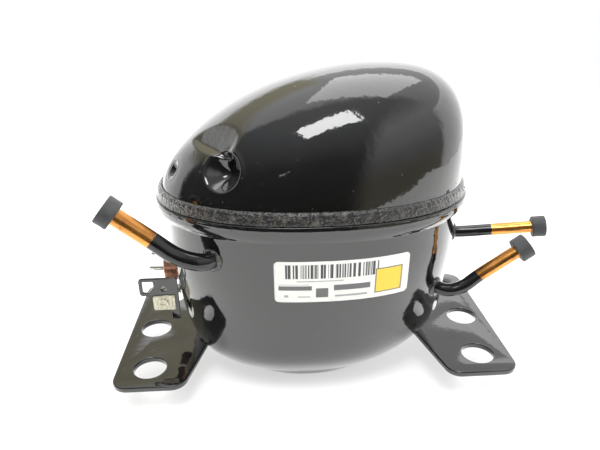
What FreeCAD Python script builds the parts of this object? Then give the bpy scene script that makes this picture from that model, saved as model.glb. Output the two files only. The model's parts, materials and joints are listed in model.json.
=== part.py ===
import FreeCAD, Part
import math
import os
from FreeCAD import Placement, Rotation, Vector

# Hermetic reciprocating compressor for a small refrigerator, in millimetres.
# Frame: +X along the long axis towards the discharge and process tubes, +Z up. The origin is the centre
# of the four mounting holes, on the underside of the base plates.

# ---------------------------------------------------------------- mounting
MOUNT_X, MOUNT_Y = 170.0, 70.0      # hole-to-hole spacing of the four mounting holes
MOUNT_HOLE_R = 8.0
CENTRE_HOLE_X = 88.4                # extra hole between each pair
PLATE_T = 3.0
PLATE_X, PLATE_Y = 102.0, 50.0      # outer edge and front or rear edge of each plate
PLATE_EAR_X = 66.5                  # inner end of each ear, at the front or rear edge
PLATE_ROOT = (57.0, 12.0)           # where each slanted edge ends
PLATE_TONGUE_X = 50.0               # the middle of the plate runs on to here, under the shell
PLATE_CORNER_R = 8.0
WELD_R = 2.2                        # bead between each plate and the shell

# ---------------------------------------------------------------- housing
WALL = 3.0
PLAN_POWER = 2.25                   # superellipse power of every plan outline
BOWL = [(-17.0, -3.0, 16.5, 10.0), (-14.5, -3.0, 26.0, 22.0), (-7.0, -3.5, 46.5, 31.0),
        (3.0, -3.0, 59.2, 40.0), (18.0, 0.0, 68.5, 45.8), (38.0, 0.0, 71.6, 50.6),
        (60.0, 0.0, 73.4, 53.8), (73.0, 0.0, 73.4, 54.0)]       # z, x of centre, half length, half width
FLARE = [(75.5, 75.6, 54.5), (78.0, 76.9, 54.9)]                # z, half length, half width
COLLAR_Z, LIP_Z, SEAM_Z = 81.0, 84.0, 87.0
COLLAR_A, COLLAR_B = 77.7, 55.2     # half length and half width of the flared collar
LIP_OUT = 0.3                       # the lip stands this proud of the collar
SKIRT_A, SKIRT_B = COLLAR_A - WALL, COLLAR_B - WALL     # the dome's skirt, inside the collar
SKIRT_Z = 82.0
DOME_Z = 89.0                       # the dome curves from here
DOME_TOP = 147.6
CROWN_X = 29.0                      # the dome is highest here
LEFT_POWERS = (1.6, 1.85)           # each end and the width fall away as (1 - s^p)^(1/q)
RIGHT_POWERS = (3.8, 2.9)
WIDTH_POWERS = (2.3, 2.2)
BEAD_TOP = 93.0
DIMPLE = dict(at=(-41.8, -40.4, 108.2), out=(-0.44, -0.77, 0.45), r=8.8, tip=1.8, depth=7.0)
SMALL_DIMPLE = dict(at=(-66.0, -18.9, 103.0), out=(-0.78, -0.33, 0.54), r=4.6, tip=2.4, depth=2.6)
FLAT = dict(at=(-45.3, -24.0, 118.4), out=(-0.53, -0.40, 0.72), along=(0.72, -0.66, 0.02), size=(24.0, 13.0),
            sink=1.6)

# ---------------------------------------------------------------- tubes
TUBE_WALL = 0.8
SUCTION_R, PROCESS_R, DISCHARGE_R = 4.0, 3.175, 3.0
SUCTION_ROUTE = [(-44.0, -37.0, 67.6), (-50.5, -47.0, 67.6), (-62.5, -47.2, 71.2), (-72.6, -47.0, 80.2),
                 (-90.0, -47.0, 94.4)]
PROCESS_ROUTE = [(54.0, -27.0, 43.5), (64.0, -37.2, 42.8), (71.5, -38.0, 45.4), (78.3, -37.3, 51.0),
                 (99.2, -36.5, 65.4)]
DISCHARGE_ROUTE = [(68.0, -12.0, 63.4), (77.5, -13.2, 63.6), (113.4, -22.0, 69.2)]
CAP_WALL, CAP_LONG = 2.8, 6.4
CAP_COVER = 4.4                     # how far a cap reaches down its tube
SMALL_CAP_WALL = 2.2                # the discharge cap
CAP_GAP = 0.05

# ---------------------------------------------------------------- terminals
TERM_Y, TERM_Z = -3.3, 46.2
CUP_R, CUP_X = 9.0, -77.5           # radius and outer face of the terminal cup
PIN_R, PIN_CIRCLE, PIN_END_X = 1.1, 5.0, -85.5
FENCE_T = 1.5
FENCE_Y = -18.0                     # front wing
FENCE_X = (-89.6, -70.0)
FENCE_Z = (35.2, 45.2)
FENCE_HOLE = (-77.2, 39.2)          # x and z of the tab hole in the front wing
FENCE_LEG_Z = 21.0                  # foot of the leg
REAR_FENCE_X = -80.0
EARTH_X, EARTH_Z = (-83.0, -71.8), (27.2, 35.4)
LABEL_X, LABEL_Z, LABEL_T = (-20.5, 41.0), (49.5, 70.5), 0.25

# ---------------------------------------------------------------- pump and motor
AXIS_X = -8.0                       # crankshaft axis
THROW = 8.0                         # half of the 16 mm stroke
BORE_R, BORE_Z = 11.0, 89.0         # 6.1 cubic centimetres with that stroke
FIT = 0.03                          # radial clearance of running fits
STATOR_R, STATOR_BORE = 40.0, 20.0
STATOR_Z = (18.0, 50.0)
AIR_GAP = 0.4
WINDING_R, WINDING_LONG, LINER_T = 28.5, 6.8, 0.6
BOLT_AT, BOLT_R = 25.1, 2.5         # stator bolts, on a square about the axis
JOURNAL_R, PIN_JOURNAL_R = 8.0, 5.5
DECK_Z = (58.0, 66.0)
HUB_R, HUB_Z = 12.5, 44.0
FACE_X = 40.0                       # the cylinder's outer face
FLANGE = 19.0                       # half side of the square cylinder flange
HEAD_BOLT_AT, HEAD_BOLT_R = 15.0, 2.0
SPRING_Z = (0.5, 12.0)
SPRING_R, WIRE_R, SPRING_TURNS = 4.4, 0.7, 4

os.makedirs("parts", exist_ok=True)


def save(name, shape):
    if not shape.isValid():
        print("INVALID", name)
    shape.exportStep("parts/" + name + ".step")
    print(name, "solids", len(shape.Solids), "mm3", round(shape.Volume, 1))


# ---------------------------------------------------------------- plain shapes
def rod(r, z0, z1, x=AXIS_X, y=0.0):
    return Part.makeCylinder(r, z1 - z0, Vector(x, y, z0))


def rod_x(r, x0, x1, y=0.0, z=BORE_Z):
    return Part.makeCylinder(r, x1 - x0, Vector(x0, y, z), Vector(1, 0, 0))


def ring(r_out, r_in, z0, z1, x=AXIS_X, y=0.0):
    return rod(r_out, z0, z1, x, y).cut(rod(r_in, z0 - 1, z1 + 1, x, y))


def block(x0, x1, y0, y1, z0, z1):
    return Part.makeBox(x1 - x0, y1 - y0, z1 - z0, Vector(x0, y0, z0))


def join(shapes):
    solid = shapes[0]
    for other in shapes[1:]:
        solid = solid.fuse(other)
    return solid.removeSplitter()


def group(shapes):
    return Part.makeCompound(shapes)


def bolt_circle():
    return [(AXIS_X + sx * BOLT_AT, sy * BOLT_AT) for sx in (-1, 1) for sy in (-1, 1)]


def superellipse(x_centre, a, b, z, power=PLAN_POWER):
    """A closed smooth outline |x/a|^power + |y/b|^power = 1 at height z."""
    points = []
    for k in range(48):
        c, s = math.cos(math.pi * k / 24), math.sin(math.pi * k / 24)
        x = x_centre + a * math.copysign(abs(c) ** (2 / power), c)
        y = b * math.copysign(abs(s) ** (2 / power), s)
        points.append(Vector(x, y, z))
    curve = Part.BSplineCurve()
    curve.interpolate(Points=points, PeriodicFlag=True)
    return Part.Wire(curve.toShape())


def loft(wires, ruled=False):
    return Part.makeLoft(wires, True, ruled)


def bent_path(points):
    """Straight runs joined by tangent arcs. Each arc is as large as its two runs allow."""
    corners = [Vector(*p) for p in points]
    edges, start = [], corners[0]
    for before, corner, after in zip(corners, corners[1:], corners[2:]):
        back, ahead = before - corner, after - corner
        shorter = min(back.Length, ahead.Length)
        turn = math.pi - back.getAngle(ahead)
        reach = 0.45 * shorter
        back.normalize()
        ahead.normalize()
        tangent_in, tangent_out = corner + back * reach, corner + ahead * reach
        radius = reach / math.tan(turn / 2)
        centre = corner + (back + ahead).normalize() * math.hypot(radius, reach)
        middle = centre + (corner - centre).normalize() * radius
        edges.append(Part.LineSegment(start, tangent_in).toShape())
        edges.append(Part.Arc(tangent_in, middle, tangent_out).toShape())
        start = tangent_out
    edges.append(Part.LineSegment(start, corners[-1]).toShape())
    return Part.Wire(edges)


def bar_along(points, r):
    path = bent_path(points)
    start, ahead = Vector(*points[0]), Vector(*points[1]) - Vector(*points[0])
    profile = Part.Wire(Part.makeCircle(r, start, ahead))
    return path.makePipeShell([profile], True, False)


# ---------------------------------------------------------------- housing
def bowl_solid(inset):
    """The bowl from its flat bottom to the neck, moved inwards by inset."""
    wires = []
    for z, x, a, b in BOWL:
        lift = inset if z == BOWL[0][0] else 0.0
        wires.append(superellipse(x, a - inset, b - inset, z + lift))
    return loft(wires)


def collar_solid(inset):
    neck_z, _, neck_a, neck_b = BOWL[-1]
    top = [(COLLAR_Z, COLLAR_A, COLLAR_B), (SEAM_Z, COLLAR_A, COLLAR_B)]
    heights = [(neck_z, neck_a, neck_b)] + FLARE + top
    return loft([superellipse(0, a - inset, b - inset, z) for z, a, b in heights], True)


def lip_ring():
    proud = [superellipse(0, COLLAR_A + LIP_OUT, COLLAR_B + LIP_OUT, z) for z in (LIP_Z, SEAM_Z)]
    return loft(proud, True).cut(collar_solid(0.3))


def falling(reach, s, powers):
    """How much of a reach is left at share s of the dome's height."""
    rise, fall = powers
    return reach * (1 - s ** rise) ** (1 / fall)


def dome_solid(inset):
    """Skirt and egg-shaped dome. Each end and the width fall away by their own superellipse."""
    sections = 14
    wires = []
    for k in range(sections + 1):
        s = 0.998 * math.sin(math.pi / 2 * k / sections)
        left = falling(SKIRT_A + CROWN_X, s, LEFT_POWERS) - inset
        right = falling(SKIRT_A - CROWN_X, s, RIGHT_POWERS) - inset
        width = falling(SKIRT_B, s, WIDTH_POWERS) - inset
        if min(right, width) < 1.0:
            break
        z = DOME_Z + (DOME_TOP - DOME_Z - inset) * s
        wires.append(superellipse(CROWN_X + (right - left) / 2, (left + right) / 2, width, z))
    return straight_sleeve(inset, SKIRT_Z, DOME_Z).fuse(loft(wires)).removeSplitter()


def straight_sleeve(inset, z0, z1):
    """The dome's skirt as a solid prism."""
    outline = superellipse(0, SKIRT_A - inset, SKIRT_B - inset, z0)
    return Part.Face(outline).extrude(Vector(0, 0, z1 - z0))


def dimple_tool(spec, wall):
    """A tapered punch, rounder and longer by the wall for the inner face."""
    out = Vector(*spec["out"]).normalize()
    stand_off = 6.0
    slope = (spec["r"] - spec["tip"]) / spec["depth"]
    top_r = spec["r"] + slope * stand_off + wall
    start = Vector(*spec["at"]) + out * stand_off
    return Part.makeCone(top_r, spec["tip"] + wall, stand_off + spec["depth"] + wall, start, out * -1)


def flat_tool(wall):
    """A block whose lower face presses the flat on the shoulder of the dome."""
    long_side, short_side = FLAT["size"]
    out = Vector(*FLAT["out"]).normalize()
    block_depth = 12.0
    tool = Part.makeBox(long_side + 2 * wall, short_side + 2 * wall, block_depth)
    tool.translate(Vector(-long_side / 2 - wall, -short_side / 2 - wall, -FLAT["sink"] - wall))
    across = out.cross(Vector(*FLAT["along"])).normalize()
    turn = Rotation(across.cross(out), across, out, "ZXY")
    tool.Placement = Placement(Vector(*FLAT["at"]), turn).multiply(tool.Placement)
    return tool


def pressed_dome(inset):
    dome = dome_solid(inset)
    for spec in (DIMPLE, SMALL_DIMPLE):
        dome = dome.cut(dimple_tool(spec, inset))
    return dome.cut(flat_tool(inset))


def tubes():
    found = {}
    routes = [("suction_tube", SUCTION_ROUTE, SUCTION_R), ("process_tube", PROCESS_ROUTE, PROCESS_R),
              ("discharge_tube", DISCHARGE_ROUTE, DISCHARGE_R)]
    for name, route, r in routes:
        found[name] = (bar_along(route, r), bar_along(route, r - TUBE_WALL))
    return found


def terminal_bore():
    return rod_x(CUP_R, CUP_X - 1, AXIS_X - STATOR_R, TERM_Y, TERM_Z)


def lower_shell():
    outer = join([bowl_solid(0), collar_solid(0), lip_ring()])
    inner = bowl_solid(WALL).fuse(collar_solid(WALL))
    shell = outer.cut(inner)
    for outer_bar, _ in tubes().values():
        shell = shell.cut(outer_bar)
    return shell.cut(terminal_bore())


def upper_shell(dome):
    return dome.cut(pressed_dome(WALL)).cut(straight_sleeve(WALL, SKIRT_Z - 1, SKIRT_Z + 1))


def seam_weld():
    """The fillet that slopes from the lip up to the dome."""
    rounds = [(0.0, 2.8), (0.25, 2.5), (0.5, 1.8), (0.8, 0.9), (1.0, 0.4)]      # share of its height, reach
    wires = []
    for share, out in rounds:
        z = SEAM_Z + share * (BEAD_TOP - SEAM_Z)
        wires.append(superellipse(0, SKIRT_A + out, SKIRT_B + out, z))
    return loft(wires).cut(straight_sleeve(0, SEAM_Z - 1, BEAD_TOP + 1))


def base_plate(side):
    """side -1 is left, 1 is right. The front and rear ears hold the mounting holes."""
    root_x, root_y = PLATE_ROOT
    outline = [(PLATE_X, -PLATE_Y), (PLATE_X, PLATE_Y), (PLATE_EAR_X, PLATE_Y), (root_x, root_y),
               (PLATE_TONGUE_X, root_y), (PLATE_TONGUE_X, -root_y), (root_x, -root_y),
               (PLATE_EAR_X, -PLATE_Y)]
    corners = [Vector(side * x, y, 0) for x, y in outline]
    plate = Part.Face(Part.makePolygon(corners + corners[:1])).extrude(Vector(0, 0, PLATE_T))
    outer, inner = [], []
    for edge in plate.Edges:
        if abs(edge.Vertexes[0].Z - edge.Vertexes[1].Z) > 1:
            where = edge.CenterOfMass
            if abs(abs(where.x) - PLATE_X) < 1:
                outer.append(edge)
            elif abs(abs(where.y) - PLATE_Y) < 1:
                inner.append(edge)
    plate = plate.makeFillet(PLATE_CORNER_R, outer + inner)
    holes = [(MOUNT_X / 2, -MOUNT_Y / 2), (CENTRE_HOLE_X, 0.0), (MOUNT_X / 2, MOUNT_Y / 2)]
    for x, y in holes:
        plate = plate.cut(rod(MOUNT_HOLE_R, -1, PLATE_T + 1, side * x, y))
    return plate.cut(bowl_solid(0))


def plate_welds():
    """A bead along the top of each joint between plate and shell."""
    z_top = PLATE_T + WELD_R
    skin = bowl_solid(-WELD_R).cut(bowl_solid(0))
    beads = []
    for side in (-1, 1):
        x0, x1 = sorted((side * PLATE_TONGUE_X, side * PLATE_EAR_X))
        reach = PLATE_ROOT[1] + 1.5
        beads.append(skin.common(block(x0, x1, -reach, reach, PLATE_T, z_top)).Solids[0])
    return group(beads)


def tube_cap(route, r, wall=CAP_WALL):
    """A rubber plug over the end of a tube. Its skirt grips the tube and its end is closed."""
    end, before = Vector(*route[-1]), Vector(*route[-2])
    along = (end - before).normalize()
    start = end - along * CAP_COVER
    body = Part.makeCylinder(r + wall, CAP_LONG, start, along)
    rims = [e for e in body.Edges if len(e.Vertexes) == 1]
    body = body.makeFillet(0.5, rims)
    bore = Part.makeCylinder(r + CAP_GAP, CAP_COVER + 0.1, start, along)
    return body.cut(bore)


# ---------------------------------------------------------------- terminals and bracket
def pin_places():
    angles = [math.radians(a) for a in (180, 60, -60)]
    return [(TERM_Y + PIN_CIRCLE * math.cos(a), TERM_Z + PIN_CIRCLE * math.sin(a)) for a in angles]


def terminal_cup():
    """A steel cup with its mouth outwards. It is welded in a hole in the end of the lower shell."""
    inner_x = -62.0
    cup = rod_x(CUP_R, CUP_X, inner_x, TERM_Y, TERM_Z)
    cup = cup.cut(rod_x(CUP_R - 1.2, CUP_X - 1, CUP_X + 5.0, TERM_Y, TERM_Z))
    for y, z in pin_places():
        cup = cup.cut(rod_x(PIN_R + 1.2, CUP_X, inner_x + 1, y, z))
    return cup


def terminal_glass():
    beads = []
    for y, z in pin_places():
        bead = rod_x(PIN_R + 1.2, CUP_X + 4.0, -61.0, y, z)
        beads.append(bead.cut(rod_x(PIN_R, CUP_X - 1, -55.0, y, z)))
    return group(beads)


def terminal_pins():
    return group([rod_x(PIN_R, PIN_END_X, -57.0, y, z) for y, z in pin_places()])


def fence_front():
    """A vertical wing with a strap window, a tab hole and a leg down the shell."""
    x0, x1 = FENCE_X
    y0, y1 = FENCE_Y - FENCE_T / 2, FENCE_Y + FENCE_T / 2
    z0, z1 = FENCE_Z
    wing = block(x0, x1, y0, y1, z0, z1)
    rim = 1.8
    middles = [(e, e.CenterOfMass) for e in wing.Edges]
    outer_edges = [e for e, at in middles if abs(at.x - x0) < 0.1 and abs(at.y - FENCE_Y) < 0.1]
    wing = wing.makeFillet(rim, outer_edges)
    leg = block(x1 - 4.5, x1, y0, y1, FENCE_LEG_Z, z0 + 1)
    window_points = [(x0 + rim, z0 + rim), (x0 + 4.6, z0 + rim), (x0 + 7.4, z0 + 5.0), (x0 + 7.4, z1 - rim),
                     (x0 + rim, z1 - rim)]
    corners = [Vector(x, y0 - 1, z) for x, z in window_points]
    window = Part.Face(Part.makePolygon(corners + corners[:1])).extrude(Vector(0, FENCE_T + 2, 0))
    hole_x, hole_z = FENCE_HOLE
    hole = Part.makeCylinder(1.4, FENCE_T + 2, Vector(hole_x, y0 - 1, hole_z), Vector(0, 1, 0))
    return wing.fuse(leg).removeSplitter().cut(window).cut(hole).cut(bowl_solid(0))


def fence_rear():
    y0 = 2 * TERM_Y - FENCE_Y - FENCE_T / 2
    wing = block(REAR_FENCE_X, FENCE_X[1], y0, y0 + FENCE_T, *FENCE_Z)
    return wing.cut(bowl_solid(0))


def earth_tab():
    y1 = FENCE_Y - FENCE_T / 2
    tab = block(EARTH_X[0], EARTH_X[1], y1 - 1.0, y1, *EARTH_Z)
    middles = [(e, e.CenterOfMass) for e in tab.Edges]
    upright = [e for e, at in middles if abs(at.y - (y1 - 0.5)) < 0.1 and at.x < EARTH_X[1] - 1]
    return tab.makeFillet(1.2, upright).cut(earth_screw_shank(y1))


def earth_screw_shank(y1):
    return Part.makeCylinder(1.5, 4.0, Vector(*earth_centre(y1 - 2.0)), Vector(0, 1, 0))


def earth_centre(y):
    return (sum(EARTH_X) / 2 - 0.3, y, sum(EARTH_Z) / 2)


def earth_screw():
    y1 = FENCE_Y - FENCE_T / 2
    head = Part.makeCylinder(2.6, 1.3, Vector(*earth_centre(y1 - 2.3)), Vector(0, 1, 0))
    x, _, z = earth_centre(0)
    cross = block(x - 1.5, x + 1.5, y1 - 3, y1 - 1.7, z - 0.3, z + 0.3)
    cross = cross.fuse(block(x - 0.3, x + 0.3, y1 - 3, y1 - 1.7, z - 1.5, z + 1.5))
    return head.fuse(earth_screw_shank(y1)).cut(cross)


def rating_label():
    x0, x1 = LABEL_X
    z0, z1 = LABEL_Z
    sheet = block(x0, x1, -60, -40, z0, z1)
    sheet = sheet.makeFillet(2.0, [e for e in sheet.Edges if abs(e.CenterOfMass.y + 50) < 1])
    return bowl_solid(-LABEL_T).cut(bowl_solid(0)).common(sheet).Solids[0]


# ---------------------------------------------------------------- suspension
def spring_seats():
    """Posts on the bottom of the bowl, one under each stator bolt."""
    room = bowl_solid(WALL)
    return group([rod(6.0, -15.0, SPRING_Z[0] - WIRE_R, x, y).common(room).Solids[0] for x, y in bolt_circle()])


def lower_grommets():
    z = SPRING_Z[0] - WIRE_R
    return group([rod(SPRING_R - WIRE_R - 0.3, z, z + 3.6, x, y) for x, y in bolt_circle()])


def upper_grommets():
    z = SPRING_Z[1] + WIRE_R
    return group([ring(6.0, BOLT_R, z, 14.5, x, y).fuse(rod(SPRING_R - WIRE_R - 0.3, z - 3.0, z, x, y)
                  .cut(rod(BOLT_R, z - 3.5, z + 1, x, y))) for x, y in bolt_circle()])


def suspension_springs():
    springs = []
    z0, z1 = SPRING_Z
    for x, y in bolt_circle():
        line = Part.makeHelix((z1 - z0) / SPRING_TURNS, z1 - z0, SPRING_R)
        profile = Part.Wire(Part.makeCircle(WIRE_R, Vector(SPRING_R, 0, 0), Vector(0, 1, 0.2)))
        coil = Part.Wire(line).makePipeShell([profile], True, True)
        coil.translate(Vector(x, y, z0))
        springs.append(coil)
    return group(springs)


# ---------------------------------------------------------------- motor
def stator_core():
    core = ring(STATOR_R, STATOR_BORE, *STATOR_Z)
    slots = 16
    for k in range(slots):
        tool = block(22.0, 29.0, -2.0, 2.0, STATOR_Z[0] - 1, STATOR_Z[1] + 1)
        tool.rotate(Vector(), Vector(0, 0, 1), 360 / slots * k + 180 / slots)
        tool.translate(Vector(AXIS_X, 0, 0))
        core = core.cut(tool)
    for x, y in bolt_circle():
        core = core.cut(rod(BOLT_R + 0.1, STATOR_Z[0] - 1, STATOR_Z[1] + 1, x, y))
    return core


def end_winding(z0, z1):
    coil = ring(WINDING_R, STATOR_BORE + 1.5, z0, z1)
    return coil.makeFillet(2.5, [e for e in coil.Edges if e.Length > 100 and e.Length < 400])


def slot_liners():
    """Insulating rings between the end windings and the core."""
    below, above = STATOR_Z[0] - LINER_T, STATOR_Z[1]
    return group([ring(WINDING_R + 0.4, STATOR_BORE + 1.0, z, z + LINER_T) for z in (below, above)])


def stator_bolts():
    bolts = []
    for x, y in bolt_circle():
        shank = rod(BOLT_R, SPRING_Z[1] - 1.5, DECK_Z[1] + 3, x, y)
        bolts.append(shank.fuse(rod(4.5, 14.5, STATOR_Z[0], x, y)).removeSplitter())
    return group(bolts)


def rotor_core():
    z0, z1 = STATOR_Z[0] - 1, STATOR_Z[1] + 1
    core = rod(STATOR_BORE - AIR_GAP, z0, z1).cut(rod(JOURNAL_R, z0 - 1, z1 + 1))
    return core.cut(rod(HUB_R + 1.5, HUB_Z - 1.5, z1 + 1))


def rotor_end_rings():
    z0, z1 = STATOR_Z[0] - 1, STATOR_Z[1] + 1
    return group([ring(19.0, 14.5, z0 - 4, z0), ring(19.0, 14.5, z1, z1 + 4)])


# ---------------------------------------------------------------- crankcase
def crankcase():
    """Deck with the main bearing below it, four legs on the stator, and the cylinder on its wall."""
    deck = rod(34.0, *DECK_Z).fuse(block(AXIS_X, FACE_X, -FLANGE, FLANGE, *DECK_Z))
    deck = deck.fuse(block(20.0, FACE_X, -36.0, FLANGE, *DECK_Z))
    hub = rod(HUB_R, HUB_Z, DECK_Z[0] + 1)
    legs = [rod(6.0, STATOR_Z[1], DECK_Z[0] + 1, x, y) for x, y in bolt_circle()]
    wall = block(18.0, FACE_X, -14.0, 14.0, DECK_Z[1] - 1, BORE_Z)
    barrel = rod_x(BORE_R + 6, 18.0, FACE_X)
    flange = block(FACE_X - 6, FACE_X, -FLANGE, FLANGE, BORE_Z - FLANGE, BORE_Z + FLANGE)
    foot = block(FACE_X - 6, FACE_X, -14.0, 14.0, DECK_Z[1] - 1, BORE_Z - FLANGE + 1)
    case = join([deck, hub] + legs + [wall, barrel, flange, foot])
    case = case.cut(rod(JOURNAL_R + FIT, HUB_Z - 1, DECK_Z[1] + 1)).cut(rod_x(BORE_R, 10, FACE_X + 1))
    for x, y in bolt_circle():
        case = case.cut(rod(BOLT_R, STATOR_Z[1] - 1, DECK_Z[1] + 1, x, y))
    for y, z in head_bolt_places():
        case = case.cut(rod_x(HEAD_BOLT_R, FACE_X - 7, FACE_X + 1, y, z))
    return case


def head_bolt_places():
    return [(sy * HEAD_BOLT_AT, BORE_Z + sz * HEAD_BOLT_AT) for sy in (-1, 1) for sz in (-1, 1)]


# Along +X from the cylinder's face: gasket, valve sheet, valve plate, head gasket, head.
GASKET_X = (FACE_X, FACE_X + 0.4)
SHEET_X = (GASKET_X[1], GASKET_X[1] + 0.2)
VALVE_X = (SHEET_X[1], SHEET_X[1] + 3.0)
HEAD_GASKET_X = (VALVE_X[1], VALVE_X[1] + 0.6)
HEAD_X = (HEAD_GASKET_X[1], HEAD_GASKET_X[1] + 14.0)
SUCTION_LEAF = dict(y=(1.6, 8.2), z=(BORE_Z - 6.0, BORE_Z + 7.0))
DISCHARGE_LEAF = dict(y=(-8.2, -1.8), z=(BORE_Z - 8.0, BORE_Z + 5.0))
PORT_R = 2.4
PORT_Z = BORE_Z - 2.0


def leaf_centre_y(leaf):
    return sum(leaf["y"]) / 2


def square_slab(x_range, half=FLANGE):
    slab = block(x_range[0], x_range[1], -half, half, BORE_Z - half, BORE_Z + half)
    for y, z in head_bolt_places():
        slab = slab.cut(rod_x(HEAD_BOLT_R, x_range[0] - 1, x_range[1] + 1, y, z))
    return slab


def cylinder_gasket():
    return square_slab(GASKET_X).cut(rod_x(BORE_R + 0.4, GASKET_X[0] - 1, GASKET_X[1] + 1))


def suction_valve_sheet():
    """The thin sheet round the suction leaf."""
    return square_slab(SHEET_X).cut(rod_x(BORE_R - 0.2, SHEET_X[0] - 1, SHEET_X[1] + 1))


def suction_reed():
    return block(SHEET_X[0], SHEET_X[1], *SUCTION_LEAF["y"], *SUCTION_LEAF["z"])


def valve_plate():
    plate = square_slab(VALVE_X)
    for leaf in (SUCTION_LEAF, DISCHARGE_LEAF):
        plate = plate.cut(rod_x(PORT_R, VALVE_X[0] - 1, VALVE_X[1] + 1, leaf_centre_y(leaf), PORT_Z))
    return plate


def discharge_reed():
    return block(VALVE_X[1], VALVE_X[1] + 0.2, *DISCHARGE_LEAF["y"], *DISCHARGE_LEAF["z"])


def discharge_reed_stop():
    y0, y1 = DISCHARGE_LEAF["y"]
    z0, z1 = DISCHARGE_LEAF["z"]
    foot = block(VALVE_X[1], VALVE_X[1] + 2.6, y0, y1, z1 + 0.3, z1 + 3.8)
    arm = block(VALVE_X[1] + 1.6, VALVE_X[1] + 2.6, y0, y1, z0, z1 + 0.5)
    return foot.fuse(arm).removeSplitter()


def head_gasket():
    gasket = square_slab(HEAD_GASKET_X)
    for y0, y1 in ((-12.5, -0.9), (0.9, 12.5)):
        gasket = gasket.cut(block(HEAD_GASKET_X[0] - 1, HEAD_GASKET_X[1] + 1, y0, y1, BORE_Z - 12, BORE_Z + 12))
    return gasket


def cylinder_head():
    """Two chambers: discharge at -Y, suction at +Y with a side port."""
    head = square_slab(HEAD_X)
    for y0, y1 in ((-12.5, -0.9), (0.9, 12.5)):
        head = head.cut(block(HEAD_X[0] - 1, HEAD_X[1] - 3, y0, y1, BORE_Z - 12, BORE_Z + 12))
    port = Part.makeCylinder(2.2, 20, Vector(50.0, 0, BORE_Z), Vector(0, 1, 0))
    outlet = Part.makeCylinder(2.0, 20, Vector(50.0, 0, BORE_Z), Vector(0, -1, 0))
    return head.cut(port).cut(outlet.cut(block(40, 60, -5, 1, 70, 110)))


def head_bolts():
    bolts = []
    for y, z in head_bolt_places():
        shank = rod_x(HEAD_BOLT_R, FACE_X - 6, HEAD_X[1] + 0.5, y, z)
        bolts.append(shank.fuse(rod_x(3.4, HEAD_X[1], HEAD_X[1] + 3, y, z)).removeSplitter())
    return group(bolts)


def suction_muffler():
    body = block(18.0, 48.0, 22.0, 36.0, 70.5, 101.0)
    body = body.makeFillet(3.0, body.Edges)
    hollow = block(20.0, 46.0, 24.0, 34.0, 72.5, 99.0)
    inlet = Part.makeCylinder(3.2, 4.0, Vector(24.0, 29.0, 98.0), Vector(0, 0, 1))
    neck_bore = Part.makeCylinder(2.2, 8.0, Vector(44.0, 25.0, BORE_Z), Vector(0, -1, 0))
    return body.cut(hollow).cut(inlet).cut(neck_bore)


def muffler_neck():
    """A short elbow from the muffler to the suction chamber."""
    neck = block(41.0, 53.0, FLANGE, 22.0, BORE_Z - 3.4, BORE_Z + 3.4)
    duct = block(43.0, 51.0, FLANGE - 1, 21.0, BORE_Z - 2.0, BORE_Z + 2.0)
    bore = Part.makeCylinder(2.2, 3, Vector(44.8, 20.5, BORE_Z), Vector(0, 1, 0))
    return neck.cut(duct).cut(bore)


POT_X, POT_Y, POT_R = 30.0, -27.5, 8.5


def discharge_muffler():
    pot = rod(POT_R, DECK_Z[1], 86.0, POT_X, POT_Y)
    pot = pot.makeFillet(2.0, [e for e in pot.Edges if len(e.Vertexes) == 1 and e.CenterOfMass.z > 80])
    return pot.cut(rod(POT_R - 1, DECK_Z[1] + 1, 84.5, POT_X, POT_Y))


def discharge_line():
    """The springy loop from the head to the pot, and on towards the housing's discharge tube."""
    to_pot = bar_along([(50.0, -FLANGE, BORE_Z), (50.0, -26.5, BORE_Z), (50.0, -27.5, 97.0), (30.0, -27.5, 97.0),
                        (POT_X, POT_Y, 86.0)], 1.8)
    onward = bar_along([(POT_X, POT_Y - 1.0, DECK_Z[0]), (POT_X, POT_Y - 1.0, 53.0), (46.0, -24.0, 52.0),
                        (54.0, -10.0, 56.0), (60.0, -11.0, 62.5)], 1.8)
    return group([to_pot, onward])


# ---------------------------------------------------------------- crankshaft and drive
WEB_Z = (71.0, 77.0)
PIN_Z = (77.0, 96.0)
WEIGHT_R = 20.0


def crank_pin_x():
    return AXIS_X + THROW


def plug_x():
    return AXIS_X + THROW / 2


PLUG_R = 1.6


def crankshaft():
    shaft = rod(JOURNAL_R, 10.0, WEB_Z[0] + 0.5)
    web = rod(15.0, *WEB_Z)
    pin = rod(PIN_JOURNAL_R, PIN_Z[0] - 0.5, PIN_Z[1], crank_pin_x())
    oil_way = rod(2.0, 9.0, 40.0, AXIS_X)
    plug_seat = rod(PLUG_R + FIT, WEB_Z[1] - 3.0, WEB_Z[1], plug_x())
    shaft = join([shaft, web, pin]).cut(oil_way)
    return shaft.cut(plug_seat.cut(rod(PIN_JOURNAL_R, *PIN_Z, crank_pin_x())))


def oil_gallery_plug():
    """A low round plug in the web, halfway between the shaft's axis and the crank pin's."""
    return rod(PLUG_R, WEB_Z[1] - 3.0, WEB_Z[1] - 0.2, plug_x())


def counterweight():
    """A sector on the side of the web away from the crank pin."""
    sector = ring(WEIGHT_R, 15.0, *WEB_Z)
    return sector.common(block(AXIS_X - 30, AXIS_X - 4, -30, 30, 60, 80))


def oil_pickup():
    cone = Part.makeCone(2.4, 5.0, 20.0, Vector(AXIS_X, 0, -10.0))
    return cone.cut(Part.makeCone(1.2, 3.8, 20.0, Vector(AXIS_X, 0, -10.0)))


def thrust_cage():
    cage = ring(13.0, JOURNAL_R + 0.1, 67.6, 69.4)
    for ball in ball_list():
        cage = cage.cut(ball)
    for x, y in ball_places():
        cage = cage.cut(rod(1.5, 67.0, 70.0, x, y))
    return cage


def ball_places():
    count, circle = 10, 10.5
    return [(AXIS_X + circle * math.cos(2 * math.pi * k / count), circle * math.sin(2 * math.pi * k / count))
            for k in range(count)]


def ball_list():
    return [Part.makeSphere(1.48, Vector(x, y, 68.5)) for x, y in ball_places()]


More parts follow.
